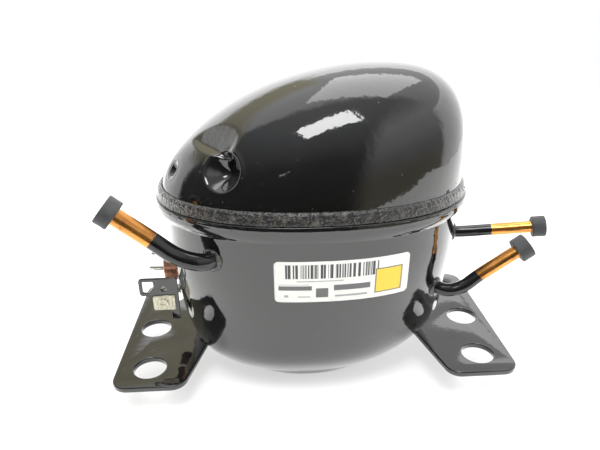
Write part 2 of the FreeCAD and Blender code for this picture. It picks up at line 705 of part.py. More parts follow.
SLIDE_HALF = 7.5
YOKE_Z = (83.0, 95.0)


def slide_block():
    x = crank_pin_x()
    body = block(x - SLIDE_HALF, x + SLIDE_HALF, -SLIDE_HALF, SLIDE_HALF, *YOKE_Z)
    return body.cut(rod(PIN_JOURNAL_R + FIT, YOKE_Z[0] - 1, YOKE_Z[1] + 1, x))


PISTON_X = (21.0, FACE_X - 0.9)     # at top dead centre


def scotch_yoke():
    """A slotted frame round the slide block, and the rod to the piston."""
    x = crank_pin_x()
    slot_x, slot_y, rail = SLIDE_HALF + FIT, SLIDE_HALF + THROW + 0.6, 3.0
    frame = block(x - slot_x - rail, x + slot_x + rail, -slot_y - rail, slot_y + rail, *YOKE_Z)
    frame = frame.cut(block(x - slot_x, x + slot_x, -slot_y, slot_y, YOKE_Z[0] - 1, YOKE_Z[1] + 1))
    arm = rod_x(4.0, x + slot_x + rail - 0.5, PISTON_X[0] + 10.0)
    return frame.fuse(arm).removeSplitter().cut(piston_pin())


def piston_pin():
    return Part.makeCylinder(2.0, 16.0, Vector(PISTON_X[0] + 6.0, 0, BORE_Z - 8.0), Vector(0, 0, 1))


def piston():
    body = rod_x(BORE_R - FIT, *PISTON_X)
    socket = rod_x(4.0, PISTON_X[0] - 1, PISTON_X[0] + 10.0)
    hollow = rod_x(8.0, PISTON_X[0] - 1, PISTON_X[0] + 2.5)
    groove = rod_x(BORE_R + 1, 33.0, 33.8).cut(rod_x(BORE_R - 0.5, 32.0, 34.8))
    return body.cut(socket).cut(hollow).cut(groove).cut(piston_pin())


# ---------------------------------------------------------------- inner wiring
LEAD_R = 1.0


def lead_connector():
    """The socket on the inner ends of the three pins."""
    body = rod_x(8.0, -61.0, -54.5, TERM_Y, TERM_Z)
    for y, z in pin_places():
        body = body.cut(rod_x(PIN_R, -62.0, -57.0, y, z))
    return body


def stator_leads():
    """Three insulated leads from the side of the upper winding towards the connector."""
    leads = []
    for k, (y, z) in enumerate(pin_places()):
        start_y, start_z = y + 3.0 * (k - 1), STATOR_Z[1] + 4.0
        start_x = AXIS_X - math.sqrt(WINDING_R ** 2 - (abs(start_y) - LEAD_R) ** 2) - 0.05
        leads.append(bar_along([(start_x, start_y, start_z), (-50.5, start_y, start_z), (-53.2, y, z)], LEAD_R))
    return group(leads)


# ---------------------------------------------------------------- every node
save("lower_shell", lower_shell())
save("upper_shell", upper_shell(pressed_dome(0)))
save("seam_weld", seam_weld())
save("left_base_plate", base_plate(-1))
save("right_base_plate", base_plate(1))
save("base_plate_welds", plate_welds())
for tube_name, (outer_bar, inner_bar) in tubes().items():
    save(tube_name, outer_bar.cut(inner_bar))
save("suction_cap", tube_cap(SUCTION_ROUTE, SUCTION_R))
save("process_cap", tube_cap(PROCESS_ROUTE, PROCESS_R))
save("discharge_cap", tube_cap(DISCHARGE_ROUTE, DISCHARGE_R, SMALL_CAP_WALL))
save("terminal_cup", terminal_cup())
save("terminal_glass", terminal_glass())
save("terminal_pins", terminal_pins())
save("terminal_fence_front", fence_front())
save("terminal_fence_rear", fence_rear())
save("earth_tab", earth_tab())
save("earth_screw", earth_screw())
save("rating_label", rating_label())
save("spring_seats", spring_seats())
save("lower_grommets", lower_grommets())
save("upper_grommets", upper_grommets())
save("suspension_springs", suspension_springs())
save("stator_core", stator_core())
save("lower_winding", end_winding(STATOR_Z[0] - LINER_T - WINDING_LONG, STATOR_Z[0] - LINER_T))
save("upper_winding", end_winding(STATOR_Z[1] + LINER_T, STATOR_Z[1] + LINER_T + WINDING_LONG))
save("slot_liners", slot_liners())
save("stator_bolts", stator_bolts())
save("rotor_core", rotor_core())
save("rotor_end_rings", rotor_end_rings())
save("crankcase", crankcase())
save("cylinder_gasket", cylinder_gasket())
save("suction_valve_sheet", suction_valve_sheet())
save("suction_reed", suction_reed())
save("valve_plate", valve_plate())
save("discharge_reed", discharge_reed())
save("discharge_reed_stop", discharge_reed_stop())
save("head_gasket", head_gasket())
save("cylinder_head", cylinder_head())
save("head_bolts", head_bolts())
save("suction_muffler", suction_muffler())
save("suction_muffler_neck", muffler_neck())
save("discharge_muffler", discharge_muffler())
save("discharge_line", discharge_line())
save("crankshaft", crankshaft())
save("counterweight", counterweight())
save("oil_pickup", oil_pickup())
save("lower_thrust_washer", ring(13.0, JOURNAL_R + 0.1, DECK_Z[1], 67.0))
save("upper_thrust_washer", ring(13.0, JOURNAL_R, 70.0, WEB_Z[0]))
save("thrust_cage", thrust_cage())
save("thrust_balls", group(ball_list()))
save("slide_block", slide_block())
save("oil_gallery_plug", oil_gallery_plug())
save("scotch_yoke", scotch_yoke())
save("piston", piston())
save("piston_pin", piston_pin())
save("lead_connector", lead_connector())
save("stator_leads", stator_leads())
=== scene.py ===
import json
import math
import random

import bmesh
import bpy
import numpy as np
from mathutils import Matrix, Vector, noise


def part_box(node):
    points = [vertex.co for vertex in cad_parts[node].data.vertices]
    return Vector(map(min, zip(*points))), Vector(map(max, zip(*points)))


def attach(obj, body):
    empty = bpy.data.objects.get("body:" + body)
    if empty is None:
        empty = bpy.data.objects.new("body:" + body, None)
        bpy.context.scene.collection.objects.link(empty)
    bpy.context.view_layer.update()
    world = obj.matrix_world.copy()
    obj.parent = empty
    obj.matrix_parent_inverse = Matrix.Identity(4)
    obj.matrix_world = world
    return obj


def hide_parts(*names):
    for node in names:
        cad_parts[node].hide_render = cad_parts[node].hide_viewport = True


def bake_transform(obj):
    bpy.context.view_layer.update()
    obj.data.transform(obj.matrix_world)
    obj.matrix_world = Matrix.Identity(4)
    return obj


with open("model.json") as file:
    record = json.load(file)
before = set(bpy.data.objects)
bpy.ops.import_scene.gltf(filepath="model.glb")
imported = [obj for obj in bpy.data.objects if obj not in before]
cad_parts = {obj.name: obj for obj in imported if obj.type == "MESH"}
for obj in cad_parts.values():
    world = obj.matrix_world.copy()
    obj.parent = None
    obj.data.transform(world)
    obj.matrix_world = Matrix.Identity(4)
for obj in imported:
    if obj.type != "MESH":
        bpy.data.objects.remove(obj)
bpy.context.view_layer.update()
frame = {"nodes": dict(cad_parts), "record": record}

# The looks of the hermetic compressor. Shapes are worked out in millimetres in the part's own frame, and a
# mesh is written in metres.
MM = 0.001

# ---------------------------------------------------------------- sizes from the frame
def corners(node):
    low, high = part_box(node)
    return low / MM, high / MM


SHELL_LOW = corners("lower_shell")[0]
BEAD_LOW, BEAD_HIGH = corners("seam_weld")
PLATE_LOW, PLATE_HIGH = corners("right_base_plate")
LABEL_LOW, LABEL_HIGH = corners("rating_label")
CUP_LOW, CUP_HIGH = corners("terminal_cup")
CUP_CENTRE, CUP_DEEP = (CUP_LOW + CUP_HIGH) / 2, 5.0
PIN_LOW, PIN_HIGH = corners("terminal_pins")
TAB_LOW, TAB_HIGH = corners("earth_tab")
FENCE_LOW, FENCE_HIGH = corners("terminal_fence_front")
REAR_LOW, REAR_HIGH = corners("terminal_fence_rear")
DOME_TOP = corners("upper_shell")[1].z

# ---------------------------------------------------------------- housing shape, as the CAD has it
WALL = 3.0
PLAN_POWER = 2.25               # the power of the superellipse that the housing is in plan
# Rows of z, x of the centre, half length and half width.
BOWL = [(-17.0, -3.0, 16.5, 10.0), (-14.5, -3.0, 26.0, 22.0), (-7.0, -3.5, 46.5, 31.0),
        (3.0, -3.0, 59.2, 40.0), (18.0, 0.0, 68.5, 45.8), (38.0, 0.0, 71.6, 50.6),
        (60.0, 0.0, 73.4, 53.8), (73.0, 0.0, 73.4, 54.0)]
COLLAR_Z, LIP_Z, SEAM_Z = 81.0, 84.0, 87.0
COLLAR_A, COLLAR_B = 77.7, 55.2
SKIRT_A, SKIRT_B, SKIRT_Z = COLLAR_A - WALL, COLLAR_B - WALL, 82.0
DOME_Z = 89.0
CROWN_X = 29.0
LEFT_POWERS, RIGHT_POWERS, WIDTH_POWERS = (1.6, 1.85), (3.8, 2.9), (2.3, 2.2)

# Each dimple: centre on the dome, direction outwards, radius, radius of its floor, depth, and how far the
# metal round it is drawn in. A raised rim runs round it: rim is its height, rim_at its distance from the
# centre in radii, and rim_side points to where it is highest.
DIMPLES = [dict(at=(-41.8, -40.4, 108.2), out=(-0.44, -0.77, 0.45), r=9.0, floor=1.6, depth=7.0, drawn=1.0,
                rim=0.45, rim_at=1.06, rim_side=(0.9, -0.3, 0.3)),
           dict(at=(-66.0, -18.9, 103.0), out=(-0.78, -0.33, 0.54), r=3.4, floor=1.5, depth=2.0, drawn=1.3,
                rim=0.35, rim_at=1.5, rim_side=(0.0, 0.0, 0.0))]
# A step pressed across the nose: a flat wall down to a fold line, and a narrow ledge back up to the snout.
STEP = dict(start=(-53.3, -19.3, 116.4), end=(-40.4, -36.4, 114.9), wall=(-0.74, -0.36, 0.58),
            ledge=(-0.08, -0.14, 0.98), depth=2.1)
# The metal stands fuller round this point, over about size millimetres.
SNOUT = dict(at=(-64.0, -16.0, 106.0), size=11.0, swell=1.0)
# The direction in which the step is pressed in and the snout stands out.
STEP_OUT = Vector((-0.53, -0.40, 0.72)).normalized()

# Tube routes as the CAD has them, with the outer radius, the thickness of the cap round the tube, and the
# share of the tube's length that the shell's enamel covers.
TUBE_WALL = 0.8
TUBES = {
    "suction": dict(r=4.0, cap_wall=2.8, bare_from=0.62, route=[(-44.0, -37.0, 67.6), (-50.5, -47.0, 67.6),
                    (-62.5, -47.2, 71.2), (-72.6, -47.0, 80.2), (-90.0, -47.0, 94.4)]),
    "process": dict(r=3.175, cap_wall=2.8, bare_from=0.55, route=[(54.0, -27.0, 43.5), (64.0, -37.2, 42.8),
                    (71.5, -38.0, 45.4), (78.3, -37.3, 51.0), (99.2, -36.5, 65.4)]),
    "discharge": dict(r=3.0, cap_wall=2.2, bare_from=0.5, route=[(68.0, -12.0, 63.4), (77.5, -13.2, 63.6),
                      (113.4, -22.0, 69.2)]),
}
CAP_LONG, CAP_COVER = 6.4, 4.4


# ---------------------------------------------------------------- numbers
def soft_positive(x, k):
    """x where it is well above zero, nothing where it is well below, and a smooth turn of size k between."""
    if x > 20 * k:
        return x
    return k * math.log1p(math.exp(x / k))


def smooth(x):
    x = min(1.0, max(0.0, x))
    return x * x * (3 - 2 * x)


def spread(a, b, count):
    return [a + (b - a) * k / (count - 1) for k in range(count)]


def around(count):
    """Evenly spaced angles, once round."""
    return [2 * math.pi * k / count for k in range(count)]


def lumps(point, size, seed=0.0):
    """Smooth noise from -1 to 1 with features about size millimetres across."""
    return noise.noise(Vector(point) / size + Vector((seed, seed * 1.7, -seed)))


def natural_spline(t, values, at):
    """A natural cubic through values at t, read at the places in at."""
    t, values = np.array(t, float), np.array(values, float)
    count = len(t)
    h = np.diff(t)
    system, right = np.eye(count), np.zeros(count)
    for k in range(1, count - 1):
        system[k, k - 1:k + 2] = h[k - 1], 2 * (h[k - 1] + h[k]), h[k]
        right[k] = 3 * ((values[k + 1] - values[k]) / h[k] - (values[k] - values[k - 1]) / h[k - 1])
    c = np.linalg.solve(system, right)
    found = []
    for x in at:
        k = int(np.clip(np.searchsorted(t, x) - 1, 0, count - 2))
        u = x - t[k]
        b = (values[k + 1] - values[k]) / h[k] - h[k] * (2 * c[k] + c[k + 1]) / 3
        d = (c[k + 1] - c[k]) / (3 * h[k])
        found.append(values[k] + b * u + c[k] * u ** 2 + d * u ** 3)
    return found


# ---------------------------------------------------------------- meshes
def add_piece(name, mesh, slot, replaces=(), body="housing", material=None):
    """A piece of the object: smooth shaded, with its material, its body and what it stands for. The material
    is the slot's own unless another is given. A piece with no body is left unattached."""
    for polygon in mesh.polygons:
        polygon.use_smooth = True
    piece = bpy.data.objects.new(name, mesh)
    bpy.context.scene.collection.objects.link(piece)
    mesh.materials.append(material or FINISHES[slot])
    if body:
        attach(piece, body)
    if replaces:
        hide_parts(*replaces)
    return piece


def ring_faces(rings, loop):
    """Faces between neighbouring rings. A ring of one point is a pole."""
    starts = np.cumsum([0] + [len(ring) for ring in rings])
    faces = []
    pairs = list(zip(range(len(rings) - 1), range(1, len(rings))))
    if loop:
        pairs.append((len(rings) - 1, 0))
    for a, b in pairs:
        count = max(len(rings[a]), len(rings[b]))
        if count == 1:
            continue
        for k in range(count):
            n = (k + 1) % count
            ids = [starts[a] + k % len(rings[a]), starts[a] + n % len(rings[a]),
                   starts[b] + n % len(rings[b]), starts[b] + k % len(rings[b])]
            faces.append([int(i) for i in dict.fromkeys(ids)])
    return faces


def reworked(mesh, *steps):
    """The mesh after each step, which is given the mesh as a bmesh."""
    work = bmesh.new()
    work.from_mesh(mesh)
    for step in steps:
        step(work)
    work.to_mesh(mesh)
    work.free()
    return mesh


def face_outwards(work):
    bmesh.ops.recalc_face_normals(work, faces=work.faces)


def ring_mesh(name, rings, loop=False, turned=None):
    """A closed mesh from rings of millimetre points. turned puts it in place with a matrix."""
    points = [Vector(p) for ring in rings for p in ring]
    if turned is not None:
        points = [turned @ p for p in points]
    mesh = bpy.data.meshes.new(name)
    mesh.from_pydata([p * MM for p in points], [], ring_faces(rings, loop))
    return reworked(mesh, face_outwards)


def join_meshes(name, meshes):
    def gather(work):
        for mesh in meshes:
            work.from_mesh(mesh)

    return reworked(bpy.data.meshes.new(name), gather)


def revolved(name, profile, turned, segments=64, loop=False):
    """A profile of (distance along +Z, radius) turned round the Z axis, then put in place."""
    rings = []
    for along, radius in profile:
        if radius == 0:
            rings.append([(0, 0, along)])
            continue
        rings.append([(radius * math.cos(a), radius * math.sin(a), along)
                      for a in around(segments)])
    return ring_mesh(name, rings, loop, turned)


def facing(at, direction):
    """The matrix that carries the origin to at and +Z to direction."""
    turn = Vector(direction).to_track_quat("Z", "Y").to_matrix().to_4x4()
    return Matrix.Translation(Vector(at)) @ turn


def circle_points(centre, radius, count):
    return [(centre[0] + radius * math.cos(a), centre[1] + radius * math.sin(a)) for a in around(count)]


def rounded_outline(points, radii, count=10):
    """A closed polygon's points with each corner rounded by its own radius."""
    outline = []
    total = len(points)
    for k, radius in enumerate(radii):
        corner = Vector(points[k])
        back = (Vector(points[k - 1]) - corner).normalized()
        ahead = (Vector(points[(k + 1) % total]) - corner).normalized()
        half = back.angle(ahead) / 2
        if radius == 0:
            outline.append(tuple(corner))
            continue
        centre = corner + (back + ahead).normalized() * radius / math.sin(half)
        start = corner + back * radius / math.tan(half) - centre
        turn = start.angle_signed(corner + ahead * radius / math.tan(half) - centre)
        for share in spread(0, 1, count):
            outline.append(tuple(centre + Matrix.Rotation(-turn * share, 2) @ start))
    return outline


def sheet_mesh(name, loops, thickness, edge, placed):
    """Sheet metal cut to the first loop, with the other loops as holes and every edge rounded. The sheet's
    own plane is XY, its middle at z 0, and placed carries it to its place."""
    curve = bpy.data.curves.new(name, "CURVE")
    curve.dimensions = "2D"
    curve.fill_mode = "BOTH"
    curve.extrude = (thickness / 2 - edge) * MM
    curve.bevel_depth = edge * MM
    curve.bevel_resolution = 3
    curve.offset = -edge * MM
    for points in loops:
        spline = curve.splines.new("POLY")
        spline.points.add(len(points) - 1)
        for point, (x, y) in zip(spline.points, points):
            point.co = (x * MM, y * MM, 0, 1)
        spline.use_cyclic_u = True
    holder = bpy.data.objects.new(name + "_outline", curve)
    bpy.context.scene.collection.objects.link(holder)
    bpy.context.view_layer.update()
    mesh = bpy.data.meshes.new_from_object(holder.evaluated_get(bpy.context.evaluated_depsgraph_get()))
    bpy.data.objects.remove(holder)
    reworked(mesh, lambda work: bmesh.ops.remove_doubles(work, verts=work.verts, dist=0.001 * MM),
             face_outwards)
    scaled = placed.copy()
    scaled.translation = scaled.translation * MM
    mesh.transform(scaled)
    mesh.name = name
    mesh.materials.clear()
    return mesh


# ---------------------------------------------------------------- housing surfaces
def bowl_heights(count):
    """The bowl's outer profile as (z, x of centre, half length, half width), evenly along its own length."""
    table = np.array(BOWL)
    steps = np.hypot(np.diff(table[:, 0]), np.diff(table[:, 2]))
    t = np.concatenate([[0], np.cumsum(steps)])
    at = spread(0, t[-1], count)
    return list(zip(*(natural_spline(t, table[:, k], at) for k in range(4))))


BOWL_FINE = bowl_heights(90)


def shell_half(z):
    """The lower shell's centre x, half length and half width at height z."""
    profile = BOWL_FINE + [(COLLAR_Z, 0.0, COLLAR_A, COLLAR_B), (SEAM_Z, 0.0, COLLAR_A, COLLAR_B)]
    heights = [p[0] for p in profile]
    return tuple(float(np.interp(z, heights, [p[k] for p in profile])) for k in (1, 2, 3))


def shell_level(point):
    """Below zero inside the lower shell's outer face, above zero outside it."""
    centre, half_long, half_wide = shell_half(point[2])
    along, across = abs((point[0] - centre) / half_long), abs(point[1] / half_wide)
    return along ** PLAN_POWER + across ** PLAN_POWER - 1


def shell_normal(point):
    step = 0.05
    rise = [shell_level(Vector(point) + Vector([step * (j == k) for j in range(3)])) for k in range(3)]
    here = shell_level(point)
    return Vector([r - here for r in rise]).normalized()


def front_face_y(x, z):
    """Where the front of the lower shell is, at a place seen from the front."""
    centre, half_long, half_wide = shell_half(z)
    return -half_wide * (1 - abs((x - centre) / half_long) ** PLAN_POWER) ** (1 / PLAN_POWER)


def plan_ring(x_centre, a, b, z, angles):
    ring = []
    for angle in angles:
        c, s = math.cos(angle), math.sin(angle)
        x = x_centre + a * math.copysign(abs(c) ** (2 / PLAN_POWER), c)
        y = b * math.copysign(abs(s) ** (2 / PLAN_POWER), s)
        ring.append(Vector((x, y, z)))
    return ring


def dome_ring(s, inset, angles):
    """One ring of the dome at share s of its height, moved inwards by inset."""
    def falling(reach, powers):
        return max(0.05, reach * (1 - s ** powers[0]) ** (1 / powers[1]) - inset)

    left = falling(SKIRT_A + CROWN_X, LEFT_POWERS)
    right = falling(SKIRT_A - CROWN_X, RIGHT_POWERS)
    width = falling(SKIRT_B, WIDTH_POWERS)
    z = DOME_Z + (DOME_TOP - DOME_Z - inset) * s
    return plan_ring(CROWN_X + (right - left) / 2, (left + right) / 2, width, z, angles)


def step_depth(p):
    """How far the step across the nose pushes a point of the dome inwards. The step fades to a quarter before
    its start and to nothing after its end."""
    farthest = 22.0                     # from the fold, beyond which the metal is left alone
    fold_turn, brink_turn = 0.15, 0.10  # how softly the metal turns at the fold and at the step's brinks
    start, end = Vector(STEP["start"]), Vector(STEP["end"])
    wall, ledge = Vector(STEP["wall"]).normalized(), Vector(STEP["ledge"]).normalized()
    line = end - start
    share = (p - start).dot(line) / line.length_squared
    fold = start + line * share - STEP_OUT * STEP["depth"]
    if not -1.0 < share < 1.4 or (p - fold).length > farthest:
        return 0.0
    over_wall = (p - fold).dot(wall) / wall.dot(STEP_OUT)
    over_ledge = (p - fold).dot(ledge) / ledge.dot(STEP_OUT)
    least = over_ledge - soft_positive(over_ledge - over_wall, fold_turn)
    ends = (0.25 + 0.75 * smooth((share + 0.30) / 0.30)) * smooth((1.22 - share) / 0.25)
    return soft_positive(least, brink_turn) * ends


def pressed(point):
    """The dome's metal after the step and the two dimples are pressed into the nose."""
    farthest = 14.0                     # along a dimple's axis, so that it isn't pressed through the far side
    brim_turn, floor_turn = 0.035, 0.09
    drawn_reach, rim_width = 1.7, 0.12  # in radii of the dimple
    p = Vector(point)
    push = step_depth(p)
    off = p - Vector(SNOUT["at"])
    p += STEP_OUT * (SNOUT["swell"] * math.exp(-(off.length / SNOUT["size"]) ** 2) - push)
    for spec in DIMPLES:
        out = Vector(spec["out"]).normalized()
        rel = p - Vector(spec["at"])
        along = rel.dot(out)
        if abs(along) > farthest:
            continue
        q = (rel - out * along).length / spec["r"]
        floor = spec["floor"] / spec["r"]
        flank = soft_positive(1 - q, brim_turn) - soft_positive(floor - q, floor_turn)
        sink = spec["depth"] * flank / (1 - floor) + spec["drawn"] * math.exp(-(q / drawn_reach) ** 2)
        side = 0.6 + 0.4 * (rel - out * along).normalized().dot(Vector(spec["rim_side"]))
        p += out * (spec["rim"] * side * math.exp(-((q - spec["rim_at"]) / rim_width) ** 2) - sink)
    return p


def nose_angles():
    """Angles round the dome, closest together across the pressed nose."""
    nose = (math.radians(182), math.radians(252))
    fine, coarse = 200, 200
    sector = spread(nose[0], nose[1], fine + 1)
    rest = spread(nose[1], nose[0] + 2 * math.pi, coarse + 1)
    return sector[:-1] + rest[:-1]


def upper_shell_mesh():
    angles = nose_angles()
    top, nose_low, nose_high, skirt_fold = DOME_TOP - DOME_Z, 7, 36, 85.0
    low = [k / top for k in spread(0, nose_low, 9)][:-1]
    nose = [k / top for k in spread(nose_low, nose_high, 76)][:-1]
    crown = [math.sin(a) for a in spread(math.asin(nose_high / top), math.pi / 2, 60)][:-1]
    skirt = [plan_ring(0, SKIRT_A, SKIRT_B, z, angles) for z in (SKIRT_Z, skirt_fold)]
    outer = skirt + [[pressed(p) for p in dome_ring(s, 0, angles)] for s in low + nose + crown]
    coarse_inner = low[::4] + nose[::4] + crown[::4]
    inner = [[pressed(p) for p in dome_ring(s, WALL, angles)] for s in reversed(coarse_inner)]
    inner_skirt = [plan_ring(0, SKIRT_A - WALL, SKIRT_B - WALL, z, angles) for z in (skirt_fold, SKIRT_Z)]
    poles = [[Vector((CROWN_X, 0, DOME_TOP))], [Vector((CROWN_X, 0, DOME_TOP - WALL))]]
    return ring_mesh("upper_shell_skin", outer + poles + inner + inner_skirt, loop=True)


def collar_ring(z, angles):
    """One ring of the flare. Its crease is lowest at the ends of the housing and higher along the sides."""
    crease_low, crease_rise, full_z, roundness = 72.6, 6.4, LIP_Z + 0.5, 2.2
    wall_a, wall_b = BOWL[-1][2:]
    ring = []
    for angle in angles:
        crease = crease_low + crease_rise * smooth(abs(math.sin(angle)) / 0.6)
        t = min(1.0, max(0.0, (z - crease) / (full_z - crease)))
        share = 1 - (1 - t) ** roundness
        a, b = wall_a + (COLLAR_A - wall_a) * share, wall_b + (COLLAR_B - wall_b) * share
        ring += plan_ring(0, a, b, z, [angle])
    return ring


def lower_shell_mesh():
    """The bowl, the flare and the lip. The lip is given as heights and how far out it stands there."""
    angles = around(360)
    lip = [(84.3, 0.0), (84.6, 0.1), (85.0, 0.17), (85.5, 0.17), (86.0, 0.05), (86.4, -0.02), (86.8, 0.0),
           (87.0, -0.3)]
    outer = [plan_ring(x, a, b, z, angles) for z, x, a, b in BOWL_FINE]
    outer += [collar_ring(z, angles) for z in spread(BOWL[-1][0] + 0.3, LIP_Z, 26)]
    for z, out in lip:
        ring = plan_ring(0, COLLAR_A + out, COLLAR_B + out, z, angles)
        rough = 0.12 * smooth(z - LIP_Z)
        outer.append([p + Vector((p.x, p.y, 0)).normalized() * rough * lumps(p, 1.6) for p in ring])
    inner = [plan_ring(0, COLLAR_A - WALL, COLLAR_B - WALL, z, angles) for z in (SEAM_Z, SKIRT_Z)]
    for z, x, a, b in reversed(BOWL_FINE[::4]):
        lift = WALL * smooth(z / BOWL[0][0])
        inner.append(plan_ring(x, a - WALL, b - WALL, z + lift, angles))
    low_x = BOWL[0][1]
    poles = [[Vector((low_x, 0, SHELL_LOW.z))], [Vector((low_x, 0, SHELL_LOW.z + WALL))]]
    rings = list(reversed(outer)) + poles + list(reversed(inner))
    return ring_mesh("lower_shell_skin", rings, loop=True)


def cut_round_hole(mesh, at, direction, radius):
    """The mesh with a straight round hole through it."""
    profile = [(-20.0, 0), (-20.0, radius), (20.0, radius), (20.0, 0)]
    cutter = bpy.data.objects.new("cutter", revolved("cutter", profile, facing(at, direction), 48))
    holder = bpy.data.objects.new("holder", mesh)
    for item in (cutter, holder):
        bpy.context.scene.collection.objects.link(item)
    cut = holder.modifiers.new("hole", "BOOLEAN")
    cut.operation = "DIFFERENCE"
    cut.solver = "EXACT"
    cut.object = cutter
    made = bpy.data.meshes.new_from_object(holder.evaluated_get(bpy.context.evaluated_depsgraph_get()))
    bpy.data.objects.remove(cutter)
    bpy.data.objects.remove(holder)
    made.name = mesh.name
    return made


# ---------------------------------------------------------------- welds
def bead_ring_mesh():
    """The seam's weld: a lumpy, rippled fillet that slopes from the lip up to the dome."""
    count, turns, ripples, lean = 1200, 20, 150, 1.15
    middle_z, half_z = (BEAD_LOW.z + BEAD_HIGH.z) / 2, (BEAD_HIGH.z - BEAD_LOW.z) / 2
    angles = around(count)
    base = plan_ring(0, SKIRT_A, SKIRT_B, middle_z, angles)
    rings = []
    for k, a in enumerate(around(turns)):
        up, out = math.sin(a), math.cos(a)
        crest = smooth((up + 0.1) / 0.5)
        ring = []
        for angle, p in zip(angles, base):
            away = Vector((p.x, p.y, 0)).normalized()
            ripple = 0.5 + 0.5 * math.sin(angle * ripples + 1.6 * up + 3.0 * lumps(p, 9.0))
            rough = 0.16 * ripple + 0.30 * lumps(p, 2.4, k * 0.15) + 0.22 * lumps(p, 7.0)
            thick = 0.62 + 0.45 * crest + rough * (0.35 + 0.65 * crest)
            reach = 1.05 - lean * up + thick * out
            height = half_z * (0.98 + 0.06 * lumps(p, 3.0, 5.0)) * up + 0.3 * out
            ring.append(p + away * reach + Vector((0, 0, height)))
        rings.append(ring)
    return ring_mesh("seam_bead", rings, loop=True)


def blob(at, size):
    return reworked(bpy.data.meshes.new("drop"),
                    lambda work: bmesh.ops.create_icosphere(work, subdivisions=2, radius=size * MM),
                    lambda work: bmesh.ops.translate(work, verts=work.verts, vec=Vector(at) * MM))


def spatter_mesh():
    """Drops of weld metal stuck along the bead, the lip's edge and the lowest part of the dome."""
    chance = random.Random(7)
    drops = []
    for _ in range(420):
        angle = chance.uniform(0, 2 * math.pi)
        where = chance.random()
        size = chance.uniform(0.22, 0.5)
        if where < 0.45:
            sunk = 0.22
            point = plan_ring(0, COLLAR_A - sunk, COLLAR_B - sunk, chance.gauss(84.9, 0.25), [angle])[0]
        elif where < 0.85:
            low = 89.4
            height = chance.uniform(low, 92.4)
            out = 1.9 - 0.42 * (height - low)
            point = plan_ring(0, SKIRT_A + out, SKIRT_B + out, height, [angle])[0]
        else:
            share = chance.uniform(0.075, 0.13)
            point = dome_ring(share, 0.05, [angle])[0]
            size *= 0.6
        drops.append(blob(point, size))
    return join_meshes("weld_spatter", drops)


def plate_weld_mesh(side):
    """The bead along the top of a plate's root, following the shell."""
    reach = 15.0
    z = PLATE_HIGH.z + 0.7
    centre, half_long, half_wide = shell_half(z)
    rings = []
    for y in spread(-reach, reach, 70):
        x = centre + side * half_long * (1 - abs(y / half_wide) ** PLAN_POWER) ** (1 / PLAN_POWER)
        end = 1 - abs(y / reach) ** 8
        size = (1.7 + 0.25 * math.sin(y * 2.4) + 0.3 * lumps((x, y, z), 3.0)) * max(0.12, end)
        rings.append([(x + side * (0.2 + size * math.cos(a)), y, z + size * 0.9 * math.sin(a))
                      for a in around(16)])
    ends = [[tuple(np.mean(ring, axis=0))] for ring in (rings[0], rings[-1])]
    return ring_mesh("plate_weld", [ends[0]] + rings + [ends[1]])


# ---------------------------------------------------------------- tubes
def bent_path(route):
    """Points along straight runs joined by tangent arcs, as a bent tube lies."""
    stops = [Vector(p) for p in route]
    path = [stops[0]]
    for before, corner, after in zip(stops, stops[1:], stops[2:]):
        back, ahead = (before - corner), (after - corner)
        reach = 0.45 * min(back.length, ahead.length)
        turn = math.pi - back.angle(ahead)
        back.normalize()
        ahead.normalize()
        radius = reach / math.tan(turn / 2)
        centre = corner + (back + ahead).normalized() * math.hypot(radius, reach)
        start, end = corner + back * reach - centre, corner + ahead * reach - centre
        for share in spread(0, 1, 14):
            swung = start * math.sin(turn * (1 - share)) + end * math.sin(turn * share)
            path.append(centre + swung / math.sin(turn))
    path.append(stops[-1])
    fine = [path[0]]
    for a, b in zip(path, path[1:]):
        steps = max(1, round((b - a).length / 0.7))
        fine += [a.lerp(b, k / steps) for k in range(1, steps + 1)]
    return fine


def path_frames(path):
    """At each point: the direction along the path and two directions across it, without twist."""
    frames, side = [], None
    for k, point in enumerate(path):
        along = (path[min(k + 1, len(path) - 1)] - path[max(k - 1, 0)]).normalized()
        if side is None:
            side = along.orthogonal().normalized()
        side = (side - along * side.dot(along)).normalized()
        frames.append((point, along, side, along.cross(side)))
    return frames


def tube_ring(frame_here, radius, segments=40):
    point, _, side, up = frame_here
    return [point + side * radius * math.cos(a) + up * radius * math.sin(a)
            for a in around(segments)]


def tube_mesh(name, spec):
    """The hollow tube, with the skin coordinate (along, across, across) that its material reads."""
    frames = path_frames(bent_path(spec["route"]))
    r = spec["r"]
    outer = [tube_ring(f, r * (1 + 0.006 * lumps(f[0], 12.0))) for f in frames]
    end, along = frames[-1][0], frames[-1][1]
    rim = [tube_ring((end + along * dx, *frames[-1][1:]), r + dr)
           for dx, dr in ((0.12, -0.06), (0.16, -0.2), (0.16, -TUBE_WALL + 0.2), (0.1, -TUBE_WALL + 0.03))]
    inner = [tube_ring(f, r - TUBE_WALL) for f in reversed(frames[::3] + frames[-1:])]
    rings = outer + rim + inner
    mesh = ring_mesh(name, rings, loop=True)
    lengths = [0.0]
    for a, b in zip(frames, frames[1:]):
        lengths.append(lengths[-1] + (b[0] - a[0]).length)
    total = lengths[-1]
    alongs = lengths + [total] * len(rim) + list(reversed(lengths[::3] + lengths[-1:]))
    values = []
    for reach, ring in zip(alongs, rings):
        for a in around(len(ring)):
            values += [reach, r * math.cos(a), r * math.sin(a)]
    skin = mesh.attributes.new("tube_skin", "FLOAT_VECTOR", "POINT")
    skin.data.foreach_set("vector", values)
    return mesh, total


